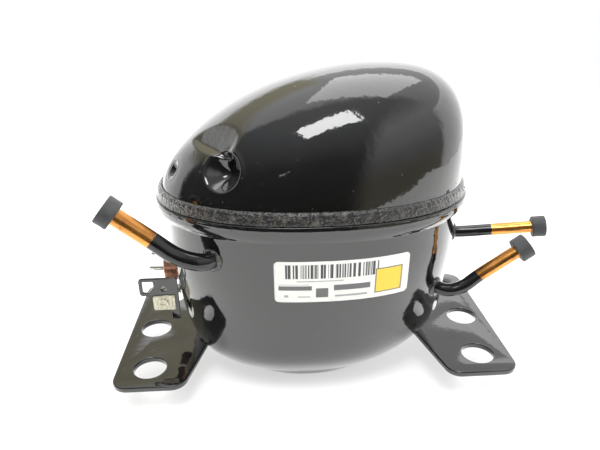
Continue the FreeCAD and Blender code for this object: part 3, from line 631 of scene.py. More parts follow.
def braze_mesh(name, spec):
    """The lumpy fillet of braze where the tube leaves the shell."""
    r, spread_out = spec["r"], 2.4
    frames = path_frames(bent_path(spec["route"]))
    segments, turns = 72, 12
    rings, columns = [], []
    for a in around(segments):
        line = [p + side * r * math.cos(a) + up * r * math.sin(a) for p, _, side, up in frames]
        outside = next(i for i, q in enumerate(line) if shell_level(q) > 0)
        inside = max(outside - 1, 0)
        level_in, level_out = shell_level(line[inside]), shell_level(line[outside])
        share = -level_in / (level_out - level_in) if level_out > level_in and level_in < 0 else 0.0
        contact = line[inside].lerp(line[outside], share)
        centre, along = frames[outside][0], frames[outside][1]
        normal = shell_normal(contact)
        radial = contact - centre
        radial = (radial - along * radial.dot(along)).normalized()
        away = (radial - normal * radial.dot(normal)).normalized()
        columns.append((contact, along, normal, radial, away))
    for turn in around(turns):
        ring = []
        for contact, along, normal, radial, away in columns:
            grow = 1 + 0.30 * lumps(contact, 2.2, 3.0) + 0.18 * lumps(contact, 5.0)
            middle = contact + (away + along) * 0.25
            upwards = (along * 0.7 + normal * 0.3) * math.sin(turn) * spread_out * 0.85
            ring.append(middle + (away * math.cos(turn) * spread_out + upwards) * 0.62 * grow)
        rings.append(ring)
    return ring_mesh(name, rings, loop=True)


def cap_mesh(name, spec):
    """A moulded plug: a skirt round the tube's end with rolled edges and a slightly hollow end face."""
    end, before = Vector(spec["route"][-1]), Vector(spec["route"][-2])
    out = (end - before).normalized()
    r, big = spec["r"] + 0.06, spec["r"] + spec["cap_wall"]
    edge = 0.55
    profile = [(CAP_COVER - 0.02, 0), (CAP_COVER - 0.02, r - 0.5), (CAP_COVER - 0.1, r), (0.5, r),
               (0.15, r + 0.15), (0.0, r + 0.5)]
    profile += [(edge - edge * math.cos(a), big - edge + edge * math.sin(a))
                for a in spread(0, math.pi / 2, 7)]
    profile += [(1.2, big + 0.02), (2.6, big - 0.03), (3.9, big - 0.03), (5.2, big + 0.02)]
    profile += [(CAP_LONG - edge + edge * math.sin(a), big - edge + edge * math.cos(a))
                for a in spread(0, math.pi / 2, 7)]
    profile += [(CAP_LONG, big - 1.4), (CAP_LONG - 0.12, big - 1.9), (CAP_LONG - 0.2, big - 2.6),
                (CAP_LONG - 0.22, 1.2), (CAP_LONG - 0.1, 0.8), (CAP_LONG - 0.1, 0)]
    return revolved(name, profile, facing(end - out * CAP_COVER, out), 96)


# ---------------------------------------------------------------- plates and terminal parts
def plate_mesh(side):
    """A foot plate with rounded edges, its two mounting holes and the extra hole between them."""
    x1, y1 = PLATE_HIGH.x, PLATE_HIGH.y
    ear_x, root_x, root_y, corner = 66.5, 57.0, 12.0, 8.0
    tongue_x = 53.0 if side > 0 else root_x - 1.0
    points = [(x1, -y1), (x1, y1), (ear_x, y1), (root_x, root_y), (tongue_x, root_y), (tongue_x, -root_y),
              (root_x, -root_y), (ear_x, -y1)]
    outline = rounded_outline(points, [corner] * 3 + [0] * 4 + [corner], 16)
    hole_r, mount_x, mount_y, centre_x = 8.0, 85.0, 35.0, 88.4
    loops = [outline] + [circle_points(c, hole_r, 48)
                         for c in ((mount_x, -mount_y), (centre_x, 0.0), (mount_x, mount_y))]
    loops = [[(side * x, y) for x, y in points] for points in loops]
    middle = Matrix.Translation((0, 0, (PLATE_LOW.z + PLATE_HIGH.z) / 2))
    return sheet_mesh("base_plate", loops, PLATE_HIGH.z - PLATE_LOW.z, 0.7, middle)


# Sheet metal that stands upright: its own X is the part's X, its own Y is the part's Z.
UPRIGHT = Matrix.Rotation(math.pi / 2, 4, "X")


def upright_at(y):
    return Matrix.Translation((0, y, 0)) @ UPRIGHT


def fence_front_mesh():
    """A wing with a window and a round hole in it, on a leg that stands on the shell."""
    x0, x1 = FENCE_LOW.x, FENCE_HIGH.x
    z0, z1, wing_z0 = FENCE_LOW.z, FENCE_HIGH.z, 35.2
    leg = 4.5
    points = [(x0, wing_z0), (x1 - leg, wing_z0), (x1 - leg, z0), (x1, z0), (x1, z1), (x0, z1)]
    outline = rounded_outline(points, [1.8, 0.8, 0.8, 0.8, 0.8, 1.8], 8)
    frame_wide, window_long, slope_long, slope_high = 1.8, 5.6, 2.8, 3.2
    left, right = x0 + frame_wide, x0 + frame_wide + window_long
    low, high = wing_z0 + frame_wide, z1 - frame_wide
    window = [(left, low), (left + slope_long, low), (right, low + slope_high), (right, high), (left, high)]
    window = rounded_outline(window, [0.7] * 5, 5)
    hole = circle_points((-77.2, 39.2), 1.4, 24)
    thickness = FENCE_HIGH.y - FENCE_LOW.y
    return sheet_mesh("fence_front_sheet", [outline, window, hole], thickness, 0.35,
                      upright_at((FENCE_LOW.y + FENCE_HIGH.y) / 2))


def upright_plate(name, low, high, corner, sharp, edge):
    """A plain upright plate between two corners of a box, with its left corners the rounder ones."""
    outline = rounded_outline([(low.x, low.z), (high.x, low.z), (high.x, high.z), (low.x, high.z)],
                              [corner, sharp, sharp, corner], 8)
    return sheet_mesh(name, [outline], high.y - low.y, edge, upright_at((low.y + high.y) / 2))


def pin_places():
    """The three pins stand on a circle about the cup's axis, one to the front."""
    circle = 5.0
    angles = [math.radians(a) for a in (180, 60, -60)]
    return [(CUP_CENTRE.y + circle * math.cos(a), CUP_CENTRE.z + circle * math.sin(a)) for a in angles]


def cup_mesh():
    """The cup that the terminals stand in, open to the left."""
    radius, sheet, deep = (CUP_HIGH.y - CUP_LOW.y) / 2, 1.2, CUP_DEEP
    bore, long = radius - sheet, CUP_HIGH.x - CUP_LOW.x
    profile = [(long, 0), (long, radius - 0.4), (long - 0.4, radius), (0.5, radius), (0.12, radius - 0.15),
               (0.0, radius - 0.5), (0.1, bore + 0.2), (0.4, bore), (deep - 0.8, bore - 0.1),
               (deep - 0.2, bore - 0.6), (deep, bore - 1.4), (deep, 0)]
    at = (CUP_LOW.x, CUP_CENTRE.y, CUP_CENTRE.z)
    return revolved("terminal_cup_shell", profile, facing(at, (1, 0, 0)), 72)


def glass_mesh():
    beads = []
    for y, z in pin_places():
        profile = [(0.0, 0), (-0.5, 1.05), (-0.28, 1.5), (0.0, 2.2), (0.1, 2.55), (0.6, 2.6), (0.6, 0)]
        beads.append(revolved("bead", profile, facing((CUP_LOW.x + CUP_DEEP, y, z), (1, 0, 0)), 40))
    return join_meshes("terminal_glass_beads", beads)


def pins_mesh():
    radius = 1.1
    long = PIN_HIGH.x - PIN_LOW.x
    pins = []
    for y, z in pin_places():
        profile = [(0, 0), (0, radius - 0.55), (0.25, radius - 0.22), (0.7, radius), (long - 0.3, radius),
                   (long, radius - 0.3), (long, 0)]
        pins.append(revolved("pin", profile, facing((PIN_LOW.x, y, z), (1, 0, 0)), 32))
    return join_meshes("terminal_pin_set", pins)


def label_mesh():
    """A thin film with rounded corners that follows the shell's front."""
    x0, x1, z0, z1 = LABEL_LOW.x, LABEL_HIGH.x, LABEL_LOW.z, LABEL_HIGH.z
    corner, thick = 2.0, 0.24
    near = [corner * (1 - math.cos(a)) for a in spread(0, math.pi / 2, 8)]
    heights = [z0 + d for d in near] + spread(z0 + corner, z1 - corner, 18)[1:-1]
    heights += [z1 - d for d in reversed(near)]
    rings = []
    for z in heights:
        depth = corner - min(z - z0, z1 - z, corner)
        inset = corner - math.sqrt(corner ** 2 - min(depth, corner) ** 2)
        xs = spread(x0 + inset, x1 - inset, 64)
        front = [(x, front_face_y(x, z) - thick, z) for x in xs]
        back = [(x, front_face_y(x, z) + 0.02, z) for x in reversed(xs)]
        rings.append(front + back)
    return reworked(ring_mesh("label_film", rings),
                    lambda work: bmesh.ops.holes_fill(work, edges=work.edges, sides=0), face_outwards)


# ---------------------------------------------------------------- materials
class Nodes:
    """The few node steps that looks and light are made of."""

    def __init__(self, tree):
        self.tree = tree

    def add(self, kind, **settings):
        node = self.tree.nodes.new(kind)
        for key, value in settings.items():
            setattr(node, key, value)
        return node

    def plug(self, socket, value):
        if isinstance(value, bpy.types.NodeSocket):
            self.tree.links.new(value, socket)
        elif socket.type == "RGBA":
            socket.default_value = (*value, 1.0)
        else:
            socket.default_value = value

    def stretch(self, vector, factors):
        node = self.add("ShaderNodeVectorMath", operation="MULTIPLY")
        self.plug(node.inputs[0], vector)
        self.plug(node.inputs[1], factors)
        return node.outputs[0]

    def fit(self, value, low, high, to_low=0.0, to_high=1.0, kind="SMOOTHSTEP"):
        node = self.add("ShaderNodeMapRange", interpolation_type=kind)
        self.plug(node.inputs["Value"], value)
        for socket, number in zip(("From Min", "From Max", "To Min", "To Max"), (low, high, to_low, to_high)):
            node.inputs[socket].default_value = number
        return node.outputs["Result"]

    def calc(self, operation, a, b=0.0):
        node = self.add("ShaderNodeMath", operation=operation)
        self.plug(node.inputs[0], a)
        self.plug(node.inputs[1], b)
        return node.outputs[0]

    def blend(self, share, a, b):
        node = self.add("ShaderNodeMix", data_type="RGBA")
        self.plug(node.inputs[0], share)
        self.plug(node.inputs[6], a)
        self.plug(node.inputs[7], b)
        return node.outputs[2]

    def axis(self, name, vector):
        node = self.add("ShaderNodeSeparateXYZ")
        self.plug(node.inputs[0], vector)
        return node.outputs[name]


class Finish(Nodes):
    """A material and the steps that need a place on the surface."""

    def __init__(self, name, rough=0.5, metal=0.0, **sockets):
        self.material = bpy.data.materials.new(name)
        self.material.use_nodes = True
        super().__init__(self.material.node_tree)
        self.shader = self.tree.nodes["Principled BSDF"]
        self.place = self.add("ShaderNodeTexCoord").outputs["Object"]
        self.set("Roughness", rough)
        self.set("Metallic", metal)
        for socket, value in sockets.items():
            self.set(socket.replace("_", " "), value)

    def set(self, socket, value):
        self.plug(self.shader.inputs[socket], value)

    def noise(self, size, detail=3.0, rough=0.5, vector=None):
        """Noise from 0 to 1 with features about size metres across."""
        node = self.add("ShaderNodeTexNoise")
        self.plug(node.inputs["Vector"], vector or self.place)
        node.inputs["Scale"].default_value = 1.0 / size
        node.inputs["Detail"].default_value = detail
        node.inputs["Roughness"].default_value = rough
        return node.outputs["Fac"]

    def cells(self, size, vector=None, feature="F1"):
        node = self.add("ShaderNodeTexVoronoi", feature=feature)
        self.plug(node.inputs["Vector"], vector or self.place)
        node.inputs["Scale"].default_value = 1.0 / size
        return node.outputs["Distance"]

    def edges(self, radius):
        """1 on convex edges, 0 on flat metal."""
        node = self.add("ShaderNodeNewGeometry")
        return self.fit(node.outputs["Pointiness"], 0.5, 0.5 + radius)

    def bump(self, height, distance, after=None, strength=1.0):
        node = self.add("ShaderNodeBump")
        node.inputs["Strength"].default_value = strength
        node.inputs["Distance"].default_value = distance
        self.plug(node.inputs["Height"], height)
        if after is not None:
            self.plug(node.inputs["Normal"], after)
        return node.outputs["Normal"]

    def tint(self, *blend):
        self.set("Base Color", self.blend(*blend))

    def rough(self, *fit):
        self.set("Roughness", self.fit(*fit))

    def relief(self, *bump):
        self.set("Normal", self.bump(*bump))

    def under_coat(self, normal):
        """The same relief on the paint and on the clear coat over it."""
        self.set("Normal", normal)
        self.set("Coat Normal", normal)


BLACK = (0.0045, 0.0045, 0.0048)
DUSTY_BLACK = (0.013, 0.0125, 0.0115)


def black_paint(name, peel, dust_amount=0.5, coat=1.0):
    """Thick gloss black enamel: orange peel, faint clouds of dust and small nibs caught in the paint."""
    f = Finish(name, Coat_Weight=coat, Coat_Roughness=0.035, Coat_IOR=1.5)
    clouds = f.noise(0.035, 5.0, 0.6)
    fine = f.noise(0.0015, 2.0)
    dust = f.fit(clouds, 0.42, 0.78, 0.0, dust_amount)
    f.tint(dust, BLACK, DUSTY_BLACK)
    smear = f.noise(0.02, 4.0, 0.65, f.stretch(f.place, (1.0, 1.0, 3.0)))
    f.rough(smear, 0.3, 0.75, 0.05, 0.13)
    nibs = f.fit(f.cells(0.0042), 0.10, 0.03)
    rare = f.fit(f.noise(0.009, 2.0), 0.55, 0.62)
    grains = f.calc("MULTIPLY", nibs, rare)
    skin = f.bump(f.noise(0.0036, 1.0), peel)
    skin = f.bump(fine, peel * 0.25, skin)
    skin = f.bump(grains, 0.00010, skin)
    f.under_coat(skin)
    return f.material


def weld_paint():
    """The same enamel over rough weld metal: pitted and slaggy, with lighter brownish patches scattered at
    random.
    """
    f = Finish("weld_enamel", Coat_Weight=1.0, Coat_Roughness=0.06, Coat_IOR=1.5)
    grit = f.noise(0.0011, 4.0, 0.65)
    slag = f.fit(f.noise(0.004, 3.0), 0.5, 0.72)
    f.tint(slag, (0.012, 0.012, 0.012), (0.075, 0.066, 0.052))
    f.rough(grit, 0.3, 0.7, 0.12, 0.38)
    skin = f.bump(grit, 0.00035)
    skin = f.bump(f.fit(f.cells(0.0016), 0.5, 0.1), 0.00022, skin)
    f.under_coat(skin)
    return f.material


def tube_finish(name, bare_from):
    """Drawn copper with lengthwise streaks. The shell's enamel covers it up to a ragged edge."""
    f = Finish(name, Coat_Weight=0.35, Coat_Roughness=0.05)
    skin_place = f.add("ShaderNodeAttribute", attribute_name="tube_skin").outputs["Vector"]
    along = f.axis("X", skin_place)
    ragged = f.calc("MULTIPLY_ADD", f.noise(2.6, 3.0, 0.6, skin_place), 1.8)
    ragged.node.inputs[2].default_value = -0.9
    bare = f.fit(f.calc("SUBTRACT", f.calc("ADD", along, ragged), bare_from), -0.06, 0.06)
    streaks = f.noise(1.0, 4.0, 0.6, f.stretch(skin_place, (0.07, 1.6, 1.6)))
    stains = f.noise(6.0, 4.0, 0.6, skin_place)
    copper = f.blend(f.fit(streaks, 0.35, 0.68), (0.80, 0.37, 0.085), (0.52, 0.205, 0.045))
    copper = f.blend(f.fit(stains, 0.52, 0.76, 0.0, 0.75), copper, (0.24, 0.105, 0.035))
    f.tint(bare, BLACK, copper)
    f.set("Metallic", bare)
    metal_rough = f.fit(streaks, 0.3, 0.7, 0.20, 0.38)
    rough = f.add("ShaderNodeMix", data_type="FLOAT")
    f.plug(rough.inputs[0], bare)
    f.plug(rough.inputs[2], 0.12)
    f.plug(rough.inputs[3], metal_rough)
    f.set("Roughness", rough.outputs[0])
    bumps = f.bump(streaks, 0.00005)
    bumps = f.bump(bare, -0.00012, bumps)
    f.set("Normal", bumps)
    return f.material


def rubber(name, colour):
    f = Finish(name, Sheen_Weight=0.25, Sheen_Roughness=0.5, Specular_IOR_Level=0.35)
    clouds = f.noise(0.006, 5.0, 0.65)
    f.tint(f.fit(clouds, 0.35, 0.75), colour, tuple(1.7 * c for c in colour))
    f.rough(clouds, 0.3, 0.8, 0.50, 0.72)
    skin = f.bump(f.noise(0.0007, 3.0), 0.00006)
    f.relief(clouds, 0.0001, skin)
    return f.material


def metal(name, colour, dark, rough, grain=(1.0, 1.0, 1.0), size=0.0012, relief=0.00004, tarnish=0.6):
    """Bare metal: grain drawn out along one axis, darker tarnish in clouds, and lighter worn edges."""
    f = Finish(name, metal=1.0)
    lines = f.noise(size, 4.0, 0.6, f.stretch(f.place, grain))
    clouds = f.noise(0.009, 5.0, 0.6)
    body = f.blend(f.fit(clouds, 0.4, 0.75, 0.0, tarnish), colour, dark)
    worn = f.calc("MULTIPLY", f.edges(0.06), 0.5)
    f.tint(worn, body, tuple(min(1.0, 1.25 * c) for c in colour))
    f.rough(f.calc("ADD", lines, clouds), 0.6, 1.4, max(0.05, rough - 0.1), rough + 0.12)
    f.relief(lines, relief)
    return f.material


def plastic(name, colour, rough, relief=0.00005):
    """Moulded or sheet plastic: a fine matt skin with slight colour clouds and rubbed edges."""
    f = Finish(name, Specular_IOR_Level=0.4)
    clouds = f.noise(0.008, 4.0)
    body = f.blend(f.fit(clouds, 0.3, 0.75, 0.0, 0.7), colour, tuple(0.72 * c for c in colour))
    rubbed = f.calc("MULTIPLY", f.edges(0.06), 0.4)
    f.tint(rubbed, body, tuple(min(1, 1.3 * c) for c in colour))
    f.rough(f.noise(0.003, 3.0), 0.3, 0.7, rough - 0.08, rough + 0.1)
    f.relief(f.noise(0.0006, 3.0), relief)
    return f.material


def cast_iron():
    f = Finish("cast_iron", metal=0.85)
    sand = f.noise(0.0013, 5.0, 0.7)
    clouds = f.noise(0.012, 4.0)
    body = f.blend(f.fit(clouds, 0.35, 0.75), (0.27, 0.27, 0.28), (0.17, 0.165, 0.16))
    f.tint(f.calc("MULTIPLY", f.edges(0.05), 0.6), body, (0.42, 0.42, 0.43))
    f.rough(sand, 0.3, 0.7, 0.38, 0.62)
    f.relief(sand, 0.00018)
    return f.material


def laminations():
    """Stacked electrical steel: half-millimetre sheets seen edge on, with bluish oxide."""
    f = Finish("laminations", metal=0.9)
    layers = f.add("ShaderNodeTexWave", wave_type="BANDS", bands_direction="Z", wave_profile="SAW")
    f.plug(layers.inputs["Vector"], f.place)
    layers.inputs["Scale"].default_value = 320.0
    layers.inputs["Distortion"].default_value = 0.3
    clouds = f.noise(0.01, 4.0)
    f.tint(f.fit(clouds, 0.35, 0.7), (0.33, 0.35, 0.40), (0.22, 0.21, 0.22))
    f.rough(clouds, 0.3, 0.7, 0.32, 0.5)
    f.relief(layers.outputs["Fac"], 0.00012)
    return f.material


def winding():
    """Varnished magnet wire laid round in packed turns."""
    f = Finish("magnet_wire", metal=0.6, Coat_Weight=0.6, Coat_Roughness=0.15)
    turns = f.add("ShaderNodeTexWave", wave_type="RINGS", rings_direction="Z", wave_profile="SIN")
    centre = f.add("ShaderNodeVectorMath", operation="ADD")
    f.plug(centre.inputs[0], f.place)
    centre.inputs[1].default_value = (0.008, 0, 0)
    f.plug(turns.inputs["Vector"], centre.outputs[0])
    turns.inputs["Scale"].default_value = 420.0
    turns.inputs["Distortion"].default_value = 2.0
    turns.inputs["Detail"].default_value = 2.0
    shade = f.blend(f.fit(turns.outputs["Fac"], 0.2, 0.8), (0.22, 0.06, 0.02), (0.62, 0.24, 0.08))
    f.set("Base Color", shade)
    f.rough(f.noise(0.004, 3.0), 0.3, 0.7, 0.28, 0.45)
    f.relief(turns.outputs["Fac"], 0.00025)
    return f.material


def fused_glass():
    f = Finish("fused_glass", rough=0.12, Coat_Weight=0.4)
    clouds = f.noise(0.0012, 3.0)
    f.tint(f.fit(clouds, 0.3, 0.7), (0.10, 0.20, 0.18), (0.20, 0.33, 0.30))
    f.relief(clouds, 0.00006)
    return f.material


def zinc():
    """Yellowish zinc plate with a mottled, rubbed surface."""
    f = Finish("zinc_plate", metal=0.55)
    spots = f.noise(0.0011, 5.0, 0.7)
    body = f.blend(f.fit(spots, 0.38, 0.62), (0.80, 0.77, 0.62), (0.52, 0.48, 0.36))
    grime = f.fit(f.noise(0.0028, 4.0, 0.7), 0.55, 0.72, 0.0, 0.8)
    f.tint(grime, body, (0.16, 0.14, 0.10))
    f.rough(spots, 0.3, 0.7, 0.32, 0.55)
    f.relief(spots, 0.00016)
    return f.material


def label_print():
    """White film with generic print: plain bars, plain rules and one plain yellow square."""
    f = Finish("label_print", rough=0.28, Coat_Weight=0.3, Coat_Roughness=0.12)
    x0, x1, z0, z1 = (v * MM for v in (LABEL_LOW.x, LABEL_HIGH.x, LABEL_LOW.z, LABEL_HIGH.z))
    x, z = f.axis("X", f.place), f.axis("Z", f.place)
    soft = 0.00006

    def band(value, low, high):
        from_low, to_high = f.fit(value, low - soft, low + soft), f.fit(value, high + soft, high - soft)
        return f.calc("MULTIPLY", from_low, to_high)

    def patch(left, right, low, high):
        """A rectangle given in shares of the label's width and height."""
        across = band(x, x0 + left * (x1 - x0), x0 + right * (x1 - x0))
        return f.calc("MULTIPLY", across, band(z, z0 + low * (z1 - z0), z0 + high * (z1 - z0)))

    bars = f.add("ShaderNodeTexNoise", noise_dimensions="1D")
    f.plug(bars.inputs["W"], x)
    bars.inputs["Scale"].default_value = 900.0
    bars.inputs["Detail"].default_value = 1.0
    printed = f.calc("MULTIPLY", f.fit(bars.outputs["Fac"], 0.47, 0.51), patch(0.08, 0.76, 0.60, 0.93))
    rules = [(0.16, 0.50, 0.52, 0.55, 0.5), (0.03, 0.27, 0.31, 0.42, 0.9), (0.30, 0.39, 0.12, 0.36, 0.9),
             (0.43, 0.70, 0.29, 0.43, 0.9), (0.44, 0.68, 0.12, 0.17, 0.6), (0.03, 0.25, 0.44, 0.465, 0.35),
             (0.07, 0.10, 0.13, 0.19, 0.6), (0.17, 0.26, 0.12, 0.16, 0.45)]
    ink = printed
    for left, right, low, high, weight in rules:
        ink = f.calc("MAXIMUM", ink, f.calc("MULTIPLY", patch(left, right, low, high), weight))
    paper = f.blend(f.fit(f.noise(0.006, 3.0), 0.3, 0.8), (0.86, 0.86, 0.83), (0.78, 0.78, 0.74))
    base = f.blend(ink, paper, (0.035, 0.035, 0.04))
    base = f.blend(patch(0.735, 0.945, 0.12, 0.74), base, (0.20, 0.17, 0.10))
    base = f.blend(patch(0.745, 0.935, 0.15, 0.71), base, (0.90, 0.62, 0.03))
    f.set("Base Color", base)
    f.relief(f.noise(0.004, 3.0), 0.00008)
    return f.material


def shared_finishes():
    """The finish for each of the record's material slots."""
    return {
        "shell_paint": black_paint("shell_enamel", 0.00006),
        "weld_paint": weld_paint(),
        "plate_paint": black_paint("plate_enamel", 0.00006, 0.8),
        "copper_tube": metal("bare_copper", (0.78, 0.36, 0.10), (0.40, 0.16, 0.05), 0.30),
        "cap_rubber": rubber("cap_rubber", (0.040, 0.041, 0.042)),
        "terminal_metal": metal("cup_metal", (0.66, 0.33, 0.22), (0.34, 0.15, 0.10), 0.38, size=0.0016),
        "terminal_glass": fused_glass(),
        "pin_steel": metal("pin_steel", (0.74, 0.72, 0.66), (0.45, 0.42, 0.36), 0.25, grain=(0.08, 1.0, 1.0)),
        "zinc_plate": zinc(),
        "label_film": label_print(),
        "pressed_steel": metal("pressed_steel", (0.46, 0.46, 0.47), (0.25, 0.24, 0.23), 0.36,
                               grain=(1.0, 1.0, 0.08)),
        "spring_steel": metal("spring_steel", (0.50, 0.50, 0.52), (0.24, 0.23, 0.24), 0.28, size=0.0008),
        "bearing_steel": metal("bearing_steel", (0.72, 0.72, 0.74), (0.55, 0.54, 0.53), 0.12, relief=0.00001),
        "cage_polymer": plastic("cage_polymer", (0.60, 0.48, 0.28), 0.5),
        "electrical_steel": laminations(),
        "magnet_wire": winding(),
        "liner_film": plastic("liner_film", (0.80, 0.82, 0.78), 0.4),
        "rotor_aluminium": metal("die_cast", (0.74, 0.75, 0.76), (0.50, 0.50, 0.51), 0.42, size=0.002,
                                 relief=0.00012),
        "grey_iron": cast_iron(),
        "sintered_steel": metal("sintered_steel", (0.40, 0.39, 0.38), (0.24, 0.23, 0.22), 0.45, size=0.0007,
                                relief=0.00010),
        "gasket_sheet": plastic("gasket_sheet", (0.14, 0.20, 0.24), 0.7, 0.0001),
        "muffler_polymer": plastic("muffler_polymer", (0.76, 0.74, 0.67), 0.45),
        "lead_sleeve": plastic("lead_sleeve", (0.74, 0.70, 0.58), 0.55, 0.0001),
        "line_copper": metal("line_copper", (0.72, 0.34, 0.15), (0.36, 0.15, 0.07), 0.32, tarnish=0.8),
    }


# ---------------------------------------------------------------- camera, floor and light
def add_camera():
    """The camera stands in front of the label, a little to the left, and looks down at the housing."""
    yaw, pitch, roll = -0.055, -0.416, 0.010
    data = bpy.data.cameras.new("camera")
    data.sensor_width = 36.0
    data.lens = 31.355
    data.clip_start, data.clip_end = 0.01, 20.0
    camera = bpy.data.objects.new("camera", data)
    turn = Matrix.Rotation(yaw, 4, "Z") @ Matrix.Rotation(pitch, 4, "X") @ Matrix.Rotation(roll, 4, "Y")
    stand = Matrix.Translation((-0.019865, -0.253666, 0.176465))
    camera.matrix_world = stand @ turn @ Matrix.Rotation(math.pi / 2, 4, "X")
    bpy.context.scene.collection.objects.link(camera)
    bpy.context.scene.camera = camera


def add_floor():
    """A pale table. The bowl hangs below the foot plates' underside, so the table is under the bowl."""
    side, front, back, z = 0.70, -0.30, 1.10, SHELL_LOW.z * MM
    mesh = bpy.data.meshes.new("floor")
    rim = [(-side, front, z), (side, front, z), (side, back, z), (-side, back, z)]
    mesh.from_pydata(rim, [], [(0, 1, 2, 3)])
    floor = bpy.data.objects.new("floor", mesh)
    bpy.context.scene.collection.objects.link(floor)
    finish = Finish("floor_white", rough=0.9, Specular_IOR_Level=0.1)
    tone = finish.fit(finish.noise(0.4, 2.0), 0.3, 0.7)
    finish.set("Base Color", finish.blend(tone, (0.90, 0.90, 0.90), (0.88, 0.88, 0.875)))
    mesh.materials.append(finish.material)


def area_light(name, at, target, size, power, colour=(1, 1, 1), roll=0.0, mirrored=True):
    data = bpy.data.lights.new(name, "AREA")
    data.shape = "RECTANGLE"
    data.size, data.size_y = size
    data.energy = power
    data.color = colour
    light = bpy.data.objects.new(name, data)
    aim = (Vector(target) - Vector(at)).to_track_quat("-Z", "Y").to_matrix().to_4x4()
    light.matrix_world = Matrix.Translation(Vector(at)) @ aim @ Matrix.Rotation(roll, 4, "Z")
    light.visible_glossy = mirrored
    data.use_shadow = mirrored
    bpy.context.scene.collection.objects.link(light)


def add_world():
    """A pale room: a light ceiling and back wall, light from the right, and a dim wall behind the camera."""
    world = bpy.data.worlds.new("studio")
    world.use_nodes = True
    bpy.context.scene.world = world
    room = Nodes(world.node_tree)
    background = room.tree.nodes["Background"]
    direction = room.add("ShaderNodeTexCoord").outputs["Generated"]
    x, y, z = (room.axis(name, direction) for name in "XYZ")

    def ramp(value, stops):
        """Levels of light by height, from straight down at -1 to straight up at 1."""
        node = room.add("ShaderNodeValToRGB")
        room.plug(node.inputs[0], room.fit(value, -1.0, 1.0, 0.0, 1.0, "LINEAR"))
        elements = node.color_ramp.elements
        while len(elements) < len(stops):
            elements.new(0.5)
        for element, (height, level, tint) in zip(elements, stops):
            element.position = (height + 1) / 2
            element.color = (*(level * t / 2 for t in tint), 1)
        return node.outputs[0]

    plain, olive, cool = (1.0, 1.0, 1.0), (1.06, 1.0, 0.74), (0.97, 1.0, 1.04)
    back_left = ramp(z, [(0.0, 1.3, plain), (0.40, 1.5, plain), (0.50, 0.55, olive), (0.70, 0.85, olive),
                         (0.80, 1.3, plain), (1.0, 1.5, plain)])
    back_right = ramp(z, [(0.0, 1.3, plain), (0.46, 1.7, plain), (0.53, 1.95, plain), (0.56, 1.0, plain),
                          (0.62, 1.0, plain), (1.0, 1.3, plain)])
    front_dark = ramp(z, [(-0.4, 0.05, olive), (0.0, 0.07, plain), (0.35, 0.12, plain), (0.60, 0.30, plain),
                          (0.80, 0.45, cool), (1.0, 0.62, plain)])
    front_right = ramp(z, [(-0.1, 0.35, olive), (0.15, 0.50, plain), (0.40, 0.80, plain), (0.65, 1.05, plain),
                           (0.90, 0.60, plain)])
    back = room.blend(room.fit(x, -0.16, -0.02), back_left, back_right)
    front = room.blend(room.fit(x, 0.25, 0.45), front_dark, front_right)
    turn = room.calc("ADD", y, room.calc("MULTIPLY", x, 0.12))
    around = room.blend(room.fit(turn, -0.05, 0.09), front, back)
    lit = room.stretch(around, (2.0, 2.0, 2.0))
    seen = room.add("ShaderNodeLightPath").outputs["Is Camera Ray"]
    room.plug(background.inputs["Color"], room.blend(seen, lit, (1.0, 1.0, 1.0)))


def add_light():
    add_world()
    crown = Vector((0.010, -0.042, 0.127))
    area_light("window", crown + 1.5 * Vector((-0.05, -0.45, 0.89)), crown, (0.66, 0.42), 8.0,
               roll=math.radians(30))
    area_light("ceiling", crown + 1.6 * Vector((0.17, 0.38, 0.91)), crown, (1.02, 1.06), 6.6)
    area_light("slit", crown + 2.0 * Vector((-0.31, -0.91, 0.27)), (-0.021, -0.049, 0.106), (0.20, 0.03),
               0.07, (0.95, 1.0, 0.80), roll=math.radians(15))
    area_light("table_fill", (0.0, -0.5, 2.4), (0.0, 0.0, 0.0), (3.0, 3.0), 75.0, mirrored=False)
    bpy.context.scene.view_settings.view_transform = "Standard"


# ---------------------------------------------------------------- assembly
def springs_mesh():
    """The four coil springs under the pump unit."""
    low, high = corners("suspension_springs")
    wire, mean, turns, steps = 0.7, 4.4, 4, 24
    reach = wire + mean
    coils = []
    for x in (low.x + reach, high.x - reach):
        for y in (low.y + reach, high.y - reach):
            rings = []
            for t in spread(0, 1, turns * steps + 1):
                a = 2 * math.pi * turns * t
                side = Vector((math.cos(a), math.sin(a), 0))
                centre = Vector((x, y, low.z + wire + (high.z - low.z - 2 * wire) * t)) + side * mean
                rings.append([centre + side * wire * math.cos(b) + Vector((0, 0, wire * math.sin(b)))
                              for b in around(10)])
            coils.append(ring_mesh("spring", [[rings[0][0].lerp(rings[0][5], 0.5)]] + rings
                                   + [[rings[-1][0].lerp(rings[-1][5], 0.5)]]))
    return join_meshes("spring_coils", coils)


def add_springs():
    """The four coil springs, standing in place with no body of their own."""
    coils = add_piece("spring_coils", springs_mesh(), "spring_steel", ["suspension_springs"], body=None)
    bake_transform(coils)


def dress_cad_nodes():
    """Gives every CAD node the finish of its own slot."""
    slot_of = {row["node"]: row["material_slot"] for row in frame["record"]["subparts"]}
    for name, node in frame["nodes"].items():
        node.data.materials.clear()
        node.data.materials.append(FINISHES[slot_of[name]])


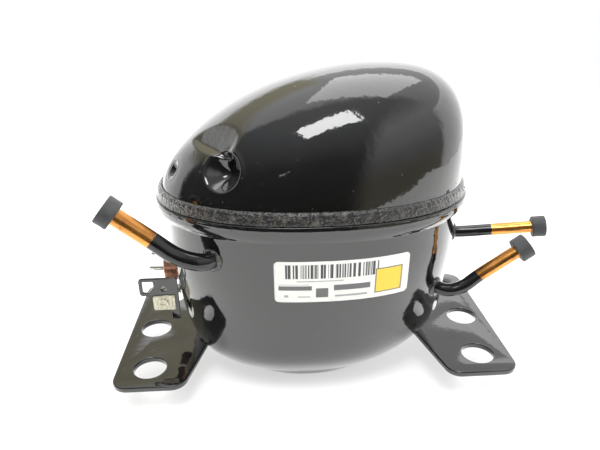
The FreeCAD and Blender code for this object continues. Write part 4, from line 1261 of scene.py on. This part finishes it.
def add_housing():
    add_piece("upper_shell_skin", upper_shell_mesh(), "shell_paint", ["upper_shell"])
    lower = cut_round_hole(lower_shell_mesh(), (-70.0, CUP_CENTRE.y, CUP_CENTRE.z), (1, 0, 0), 8.9)
    add_piece("lower_shell_skin", lower, "shell_paint", ["lower_shell"])
    add_piece("seam_bead", bead_ring_mesh(), "weld_paint", ["seam_weld"])
    add_piece("weld_spatter", spatter_mesh(), "weld_paint")
    for side, name in ((-1, "left"), (1, "right")):
        add_piece(name + "_plate_sheet", plate_mesh(side), "plate_paint", [name + "_base_plate"])
    welds = join_meshes("plate_weld_beads", [plate_weld_mesh(side) for side in (-1, 1)])
    add_piece("plate_weld_beads", welds, "shell_paint", ["base_plate_welds"], material=FINISHES["weld_paint"])


def add_tubes():
    for name, spec in TUBES.items():
        mesh, total = tube_mesh(name + "_tube_skin", spec)
        add_piece(name + "_tube_skin", mesh, "copper_tube", [name + "_tube"],
                  material=tube_finish(name + "_tube_finish", total * spec["bare_from"]))
        add_piece(name + "_braze", braze_mesh(name + "_braze", spec), "weld_paint")
        add_piece(name + "_cap_plug", cap_mesh(name + "_cap_plug", spec), "cap_rubber", [name + "_cap"],
                  body=name + "_cap")


def add_terminals():
    rear = upright_plate("fence_rear_sheet", REAR_LOW, REAR_HIGH, 1.4, 0.4, 0.35)
    tab = upright_plate("earth_tab_plate", TAB_LOW, TAB_HIGH, 1.3, 0.3, 0.25)
    for name, mesh, slot, node in (
            ("terminal_cup_shell", cup_mesh(), "terminal_metal", "terminal_cup"),
            ("terminal_glass_beads", glass_mesh(), "terminal_glass", "terminal_glass"),
            ("terminal_pin_set", pins_mesh(), "pin_steel", "terminal_pins"),
            ("fence_front_sheet", fence_front_mesh(), "shell_paint", "terminal_fence_front"),
            ("fence_rear_sheet", rear, "shell_paint", "terminal_fence_rear"),
            ("earth_tab_plate", tab, "zinc_plate", "earth_tab"),
            ("label_film", label_mesh(), "label_film", "rating_label")):
        add_piece(name, mesh, slot, [node])


add_camera()
add_floor()
add_light()
FINISHES = shared_finishes()
dress_cad_nodes()
add_housing()
add_tubes()
add_terminals()
add_springs()
